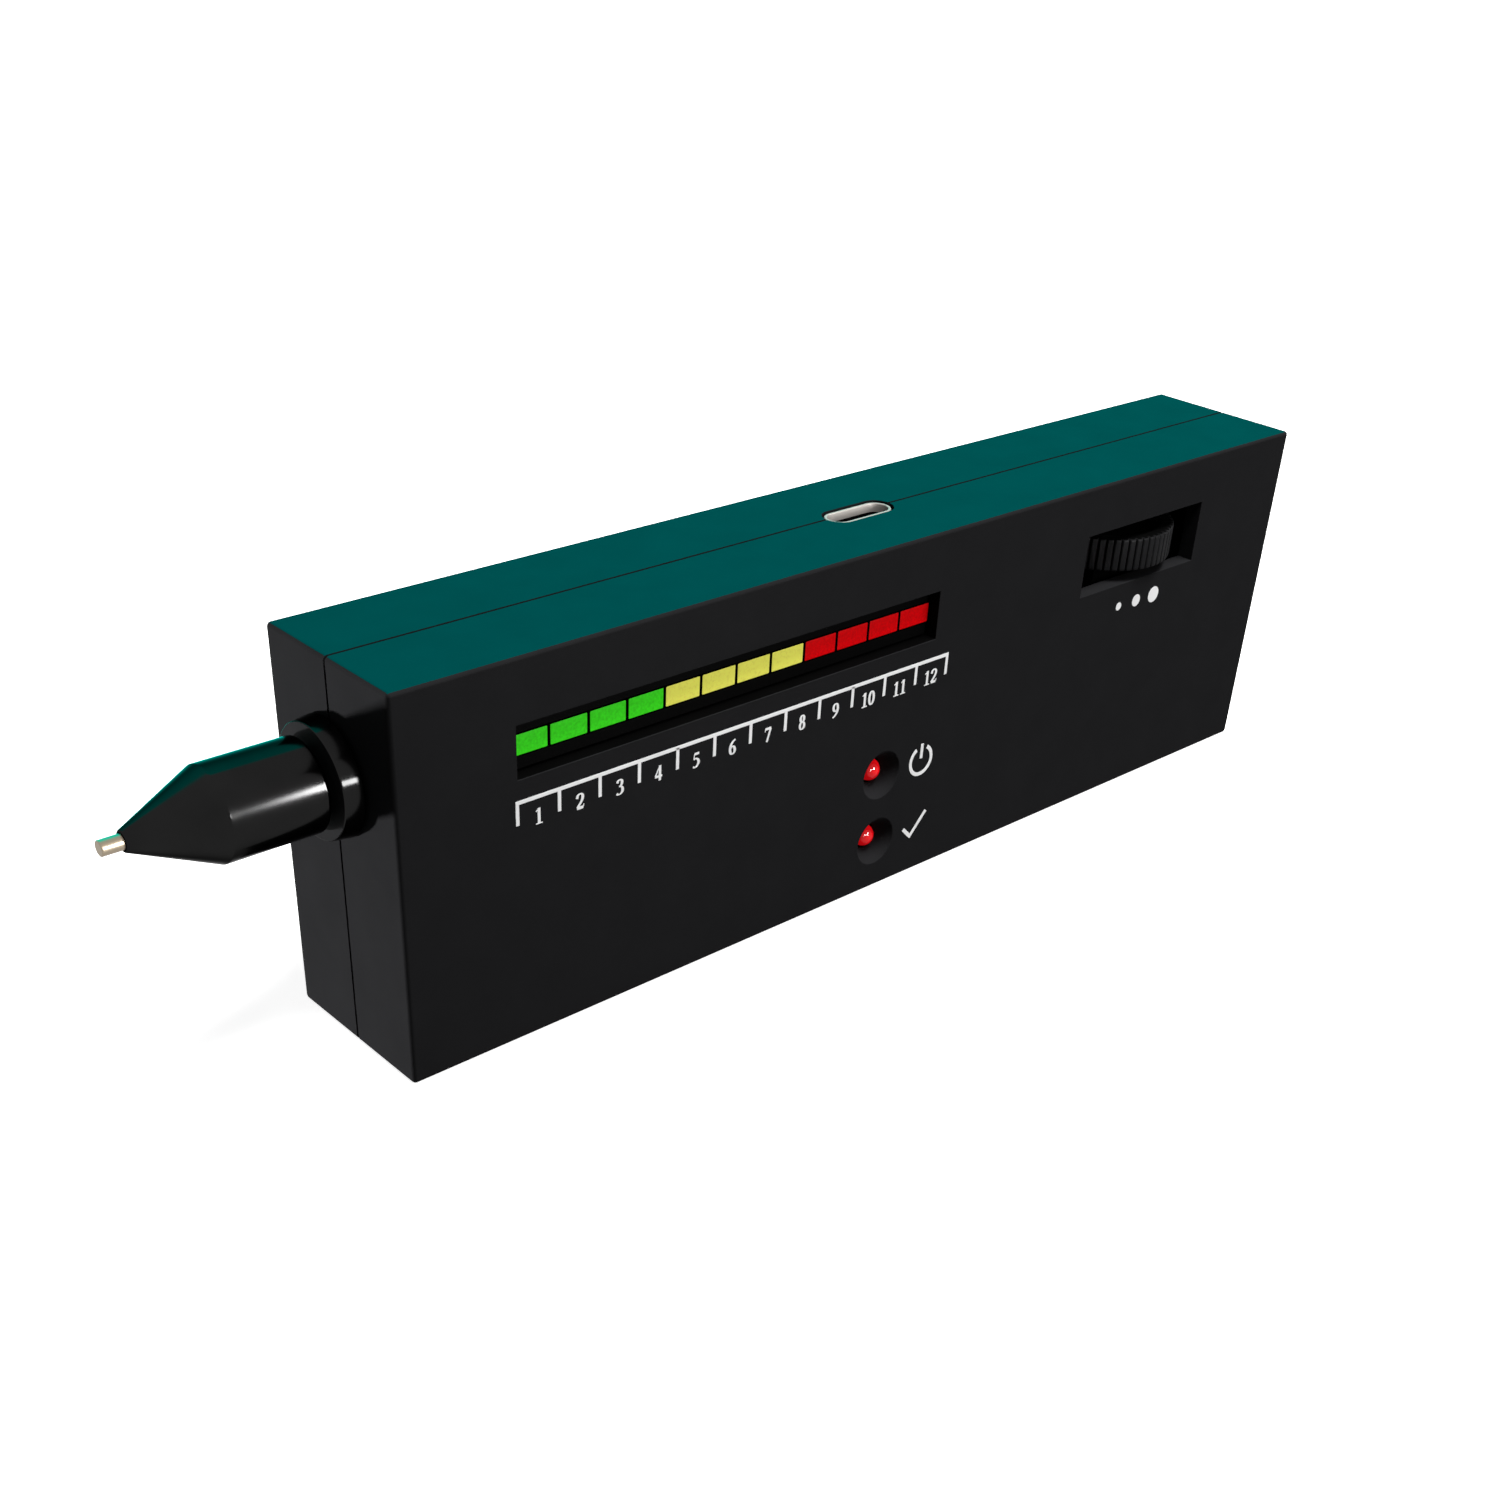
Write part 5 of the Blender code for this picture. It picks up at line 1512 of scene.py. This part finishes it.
@dataclass
class Studio:
    """White floor and surroundings, soft lamps, and the camera at the photograph's place."""

    camera_place: Triple = (-0.132695, -0.13683, 0.107588)
    camera_turn: Triple = (54.7945, -2.4868, -41.9983)
    camera_near: float = 0.005
    photo_px: float = 1500.0
    focal_px: float = 1854.55
    centre_px: Pair = (740.3, 1059.49)
    sensor: float = 36.0
    floor_half: float = 4.0
    floor_drop: float = 0.02 * MM
    floor_colour: str = "CFCFCF"
    floor_lift: float = 0.9
    lift_from: float = 0.4
    lift_to: float = 2.0
    white: str = "FFFFFF"
    ambient: float = 0.08
    card_colour: str = "00FEEC"
    card_strength: float = 1.9
    card_middle: float = math.radians(21.5)
    card_reach: float = math.radians(43.5)
    card_edge: float = -0.2
    case_middle: float = 0.02
    nose: Triple = (-0.062, 0.0, 0.0295)
    lamp_domes: Triple = (0.0083, -0.008, 0.0102)

    def seen_directly(self, tree: bpy.types.NodeTree) -> bpy.types.NodeSocket:
        """One for rays from the camera, from gloss and through glass.

        Args:
            tree: A shader tree.

        Returns:
            An output of zero or one.
        """
        path = add_node(tree, "ShaderNodeLightPath").outputs
        eye = {0: path["Is Camera Ray"], 1: path["Is Glossy Ray"]}
        both = add_node(tree, "ShaderNodeMath", eye, operation="ADD").outputs[0]
        every = {0: both, 1: path["Is Transmission Ray"]}
        return add_node(tree, "ShaderNodeMath", every, operation="ADD", use_clamp=True).outputs[0]

    def card_seen(self, tree: bpy.types.NodeTree) -> bpy.types.NodeSocket:
        """One for gloss that looks at the blue-green card behind the tester.

        The card takes the directions whose height angle, the arc tangent of Z over Y, is within its
        reach of its middle and whose X is above its edge.

        Args:
            tree: The world's tree.

        Returns:
            An output of zero or one.
        """
        way = add_node(tree, "ShaderNodeTexCoord").outputs["Generated"]
        parts = add_node(tree, "ShaderNodeSeparateXYZ", {"Vector": way}).outputs
        slope = {0: parts["Z"], 1: parts["Y"]}
        angle = add_node(tree, "ShaderNodeMath", slope, operation="ARCTAN2").outputs[0]
        limits = {0: angle, 1: self.card_middle, 2: self.card_reach}
        band = add_node(tree, "ShaderNodeMath", limits, operation="COMPARE").outputs[0]
        beyond = {0: parts["X"], 1: self.card_edge}
        side = add_node(tree, "ShaderNodeMath", beyond, operation="GREATER_THAN").outputs[0]
        within = {0: band, 1: side}
        card = add_node(tree, "ShaderNodeMath", within, operation="MULTIPLY").outputs[0]
        gloss = {0: card, 1: add_node(tree, "ShaderNodeLightPath").outputs["Is Glossy Ray"]}
        return add_node(tree, "ShaderNodeMath", gloss, operation="MULTIPLY").outputs[0]

    def surroundings(self) -> None:
        """A world that is white to the eye, dim as a lamp, and has a card that only gloss sees."""
        world = bpy.data.worlds.new("studio")
        world.use_nodes = True
        tree = world.node_tree
        tree.nodes.clear()
        dim, white, card = (
            add_node(tree, "ShaderNodeBackground", {"Color": linear(colour), "Strength": strength})
            for colour, strength in (
                (self.white, self.ambient),
                (self.white, 1.0),
                (self.card_colour, self.card_strength),
            )
        )
        room = {0: self.seen_directly(tree), 1: dim.outputs[0], 2: white.outputs[0]}
        mix = add_node(tree, "ShaderNodeMixShader", room)
        carded = {0: self.card_seen(tree), 1: mix.outputs[0], 2: card.outputs[0]}
        whole = add_node(tree, "ShaderNodeMixShader", carded)
        add_node(tree, "ShaderNodeOutputWorld", {"Surface": whole.outputs[0]})
        bpy.context.scene.world = world

    def floor(self) -> None:
        """A pale floor that holds the tester's shadow and is lifted to white for the eye."""
        material = bpy.data.materials.new("studio_floor")
        material.use_nodes = True
        tree = material.node_tree
        tree.nodes.clear()
        paint = add_node(tree, "ShaderNodeBsdfDiffuse", {"Color": linear(self.floor_colour)})
        place = add_node(tree, "ShaderNodeTexCoord").outputs["Object"]
        away = add_node(tree, "ShaderNodeVectorMath", {0: place}, operation="LENGTH")
        limits = {
            "Value": away.outputs["Value"],
            "From Min": self.lift_from,
            "From Max": self.lift_to,
            "To Min": self.floor_lift,
        }
        height = add_node(tree, "ShaderNodeMapRange", limits).outputs["Result"]
        lifted = {0: self.seen_directly(tree), 1: height}
        lift = add_node(tree, "ShaderNodeMath", lifted, operation="MULTIPLY")
        glow = add_node(tree, "ShaderNodeEmission", {"Strength": lift.outputs[0]})
        both = add_node(tree, "ShaderNodeAddShader", {0: paint.outputs[0], 1: glow.outputs[0]})
        add_node(tree, "ShaderNodeOutputMaterial", {"Surface": both.outputs[0]})
        half = self.floor_half
        low = CAD_BOUNDS[0][2] - self.floor_drop
        mesh = bpy.data.meshes.new("studio_floor")
        square = ((-half, -half), (half, -half), (half, half), (-half, half))
        mesh.from_pydata([(x, y, low) for x, y in square], [], [(0, 1, 2, 3)])
        mesh.materials.append(material)
        obj = new_object("studio_floor", mesh)
        obj.visible_shadow = False
        obj.visible_diffuse = False
        obj.visible_glossy = False

    def camera(self) -> None:
        """The camera, from its fit to the corners of the case in the photograph."""
        lens = bpy.data.cameras.new("photo_camera")
        lens.sensor_width = self.sensor
        lens.lens = self.focal_px / self.photo_px * self.sensor
        lens.shift_x = 0.5 - self.centre_px[0] / self.photo_px
        lens.shift_y = self.centre_px[1] / self.photo_px - 0.5
        lens.clip_start = self.camera_near
        obj = new_object("photo_camera", lens)
        obj.location = self.camera_place
        obj.rotation_euler = Euler([math.radians(turn) for turn in self.camera_turn])
        bpy.context.scene.camera = obj

    def lamps(self) -> None:
        """Soft lamps in front, above and behind, and panels that only gloss sees."""
        case = ((CAD_BOUNDS[0][0] + CAD_BOUNDS[1][0]) / 2, 0.0, self.case_middle)
        nose = self.nose
        for name, place, aim, size, watts in (
            ("front_softbox", (0.18, -0.30, 0.17), case, (0.16, 0.12), 0.52),
            ("top_softbox", (0.1, -0.24, 0.84), case, (0.5, 0.2), 17.0),
            ("side_softbox", (-0.486, 0.373, -0.172), nose, (0.035, 0.035), 12.0),
        ):
            Softbox(name, place, aim, size, watts, glossy=False).hang()
        for name, place, aim, size, watts, shape in (
            ("glint_panel", (0.056, -0.18, 0.063), nose, (0.060, 0.072), 1.3, LampShape.OVAL),
            ("collar_panel", (-0.016, -0.18, 0.063), nose, (0.022, 0.026), 0.13, LampShape.OBLONG),
            (
                "lamp_glint_panel", (-0.0125, -0.0615, 0.0262), self.lamp_domes, (0.011, 0.020),
                0.05, LampShape.OBLONG,
            ),
        ):
            Softbox(name, place, aim, size, watts, diffuse=False, shape=shape).hang()

    def build(self) -> None:
        """Sets the studio up."""
        bpy.context.scene.view_settings.view_transform = "Standard"
        self.surroundings()
        self.floor()
        self.lamps()
        self.camera()


def main() -> None:
    """Builds the sub-assemblies in order."""
    logging.basicConfig(level=logging.INFO, format="%(message)s")
    parts = (
        CarriedPieces(),
        Case(),
        ProbeTip(),
        LightBar(),
        StatusLamps(),
        Thumbwheel(),
        ChargingSocket(),
        PrintedMarks(),
        Studio(),
    )
    for part in parts:
        LOG.info("%s", type(part).__name__)
        part.build()


if __name__ == "__main__":
    main()
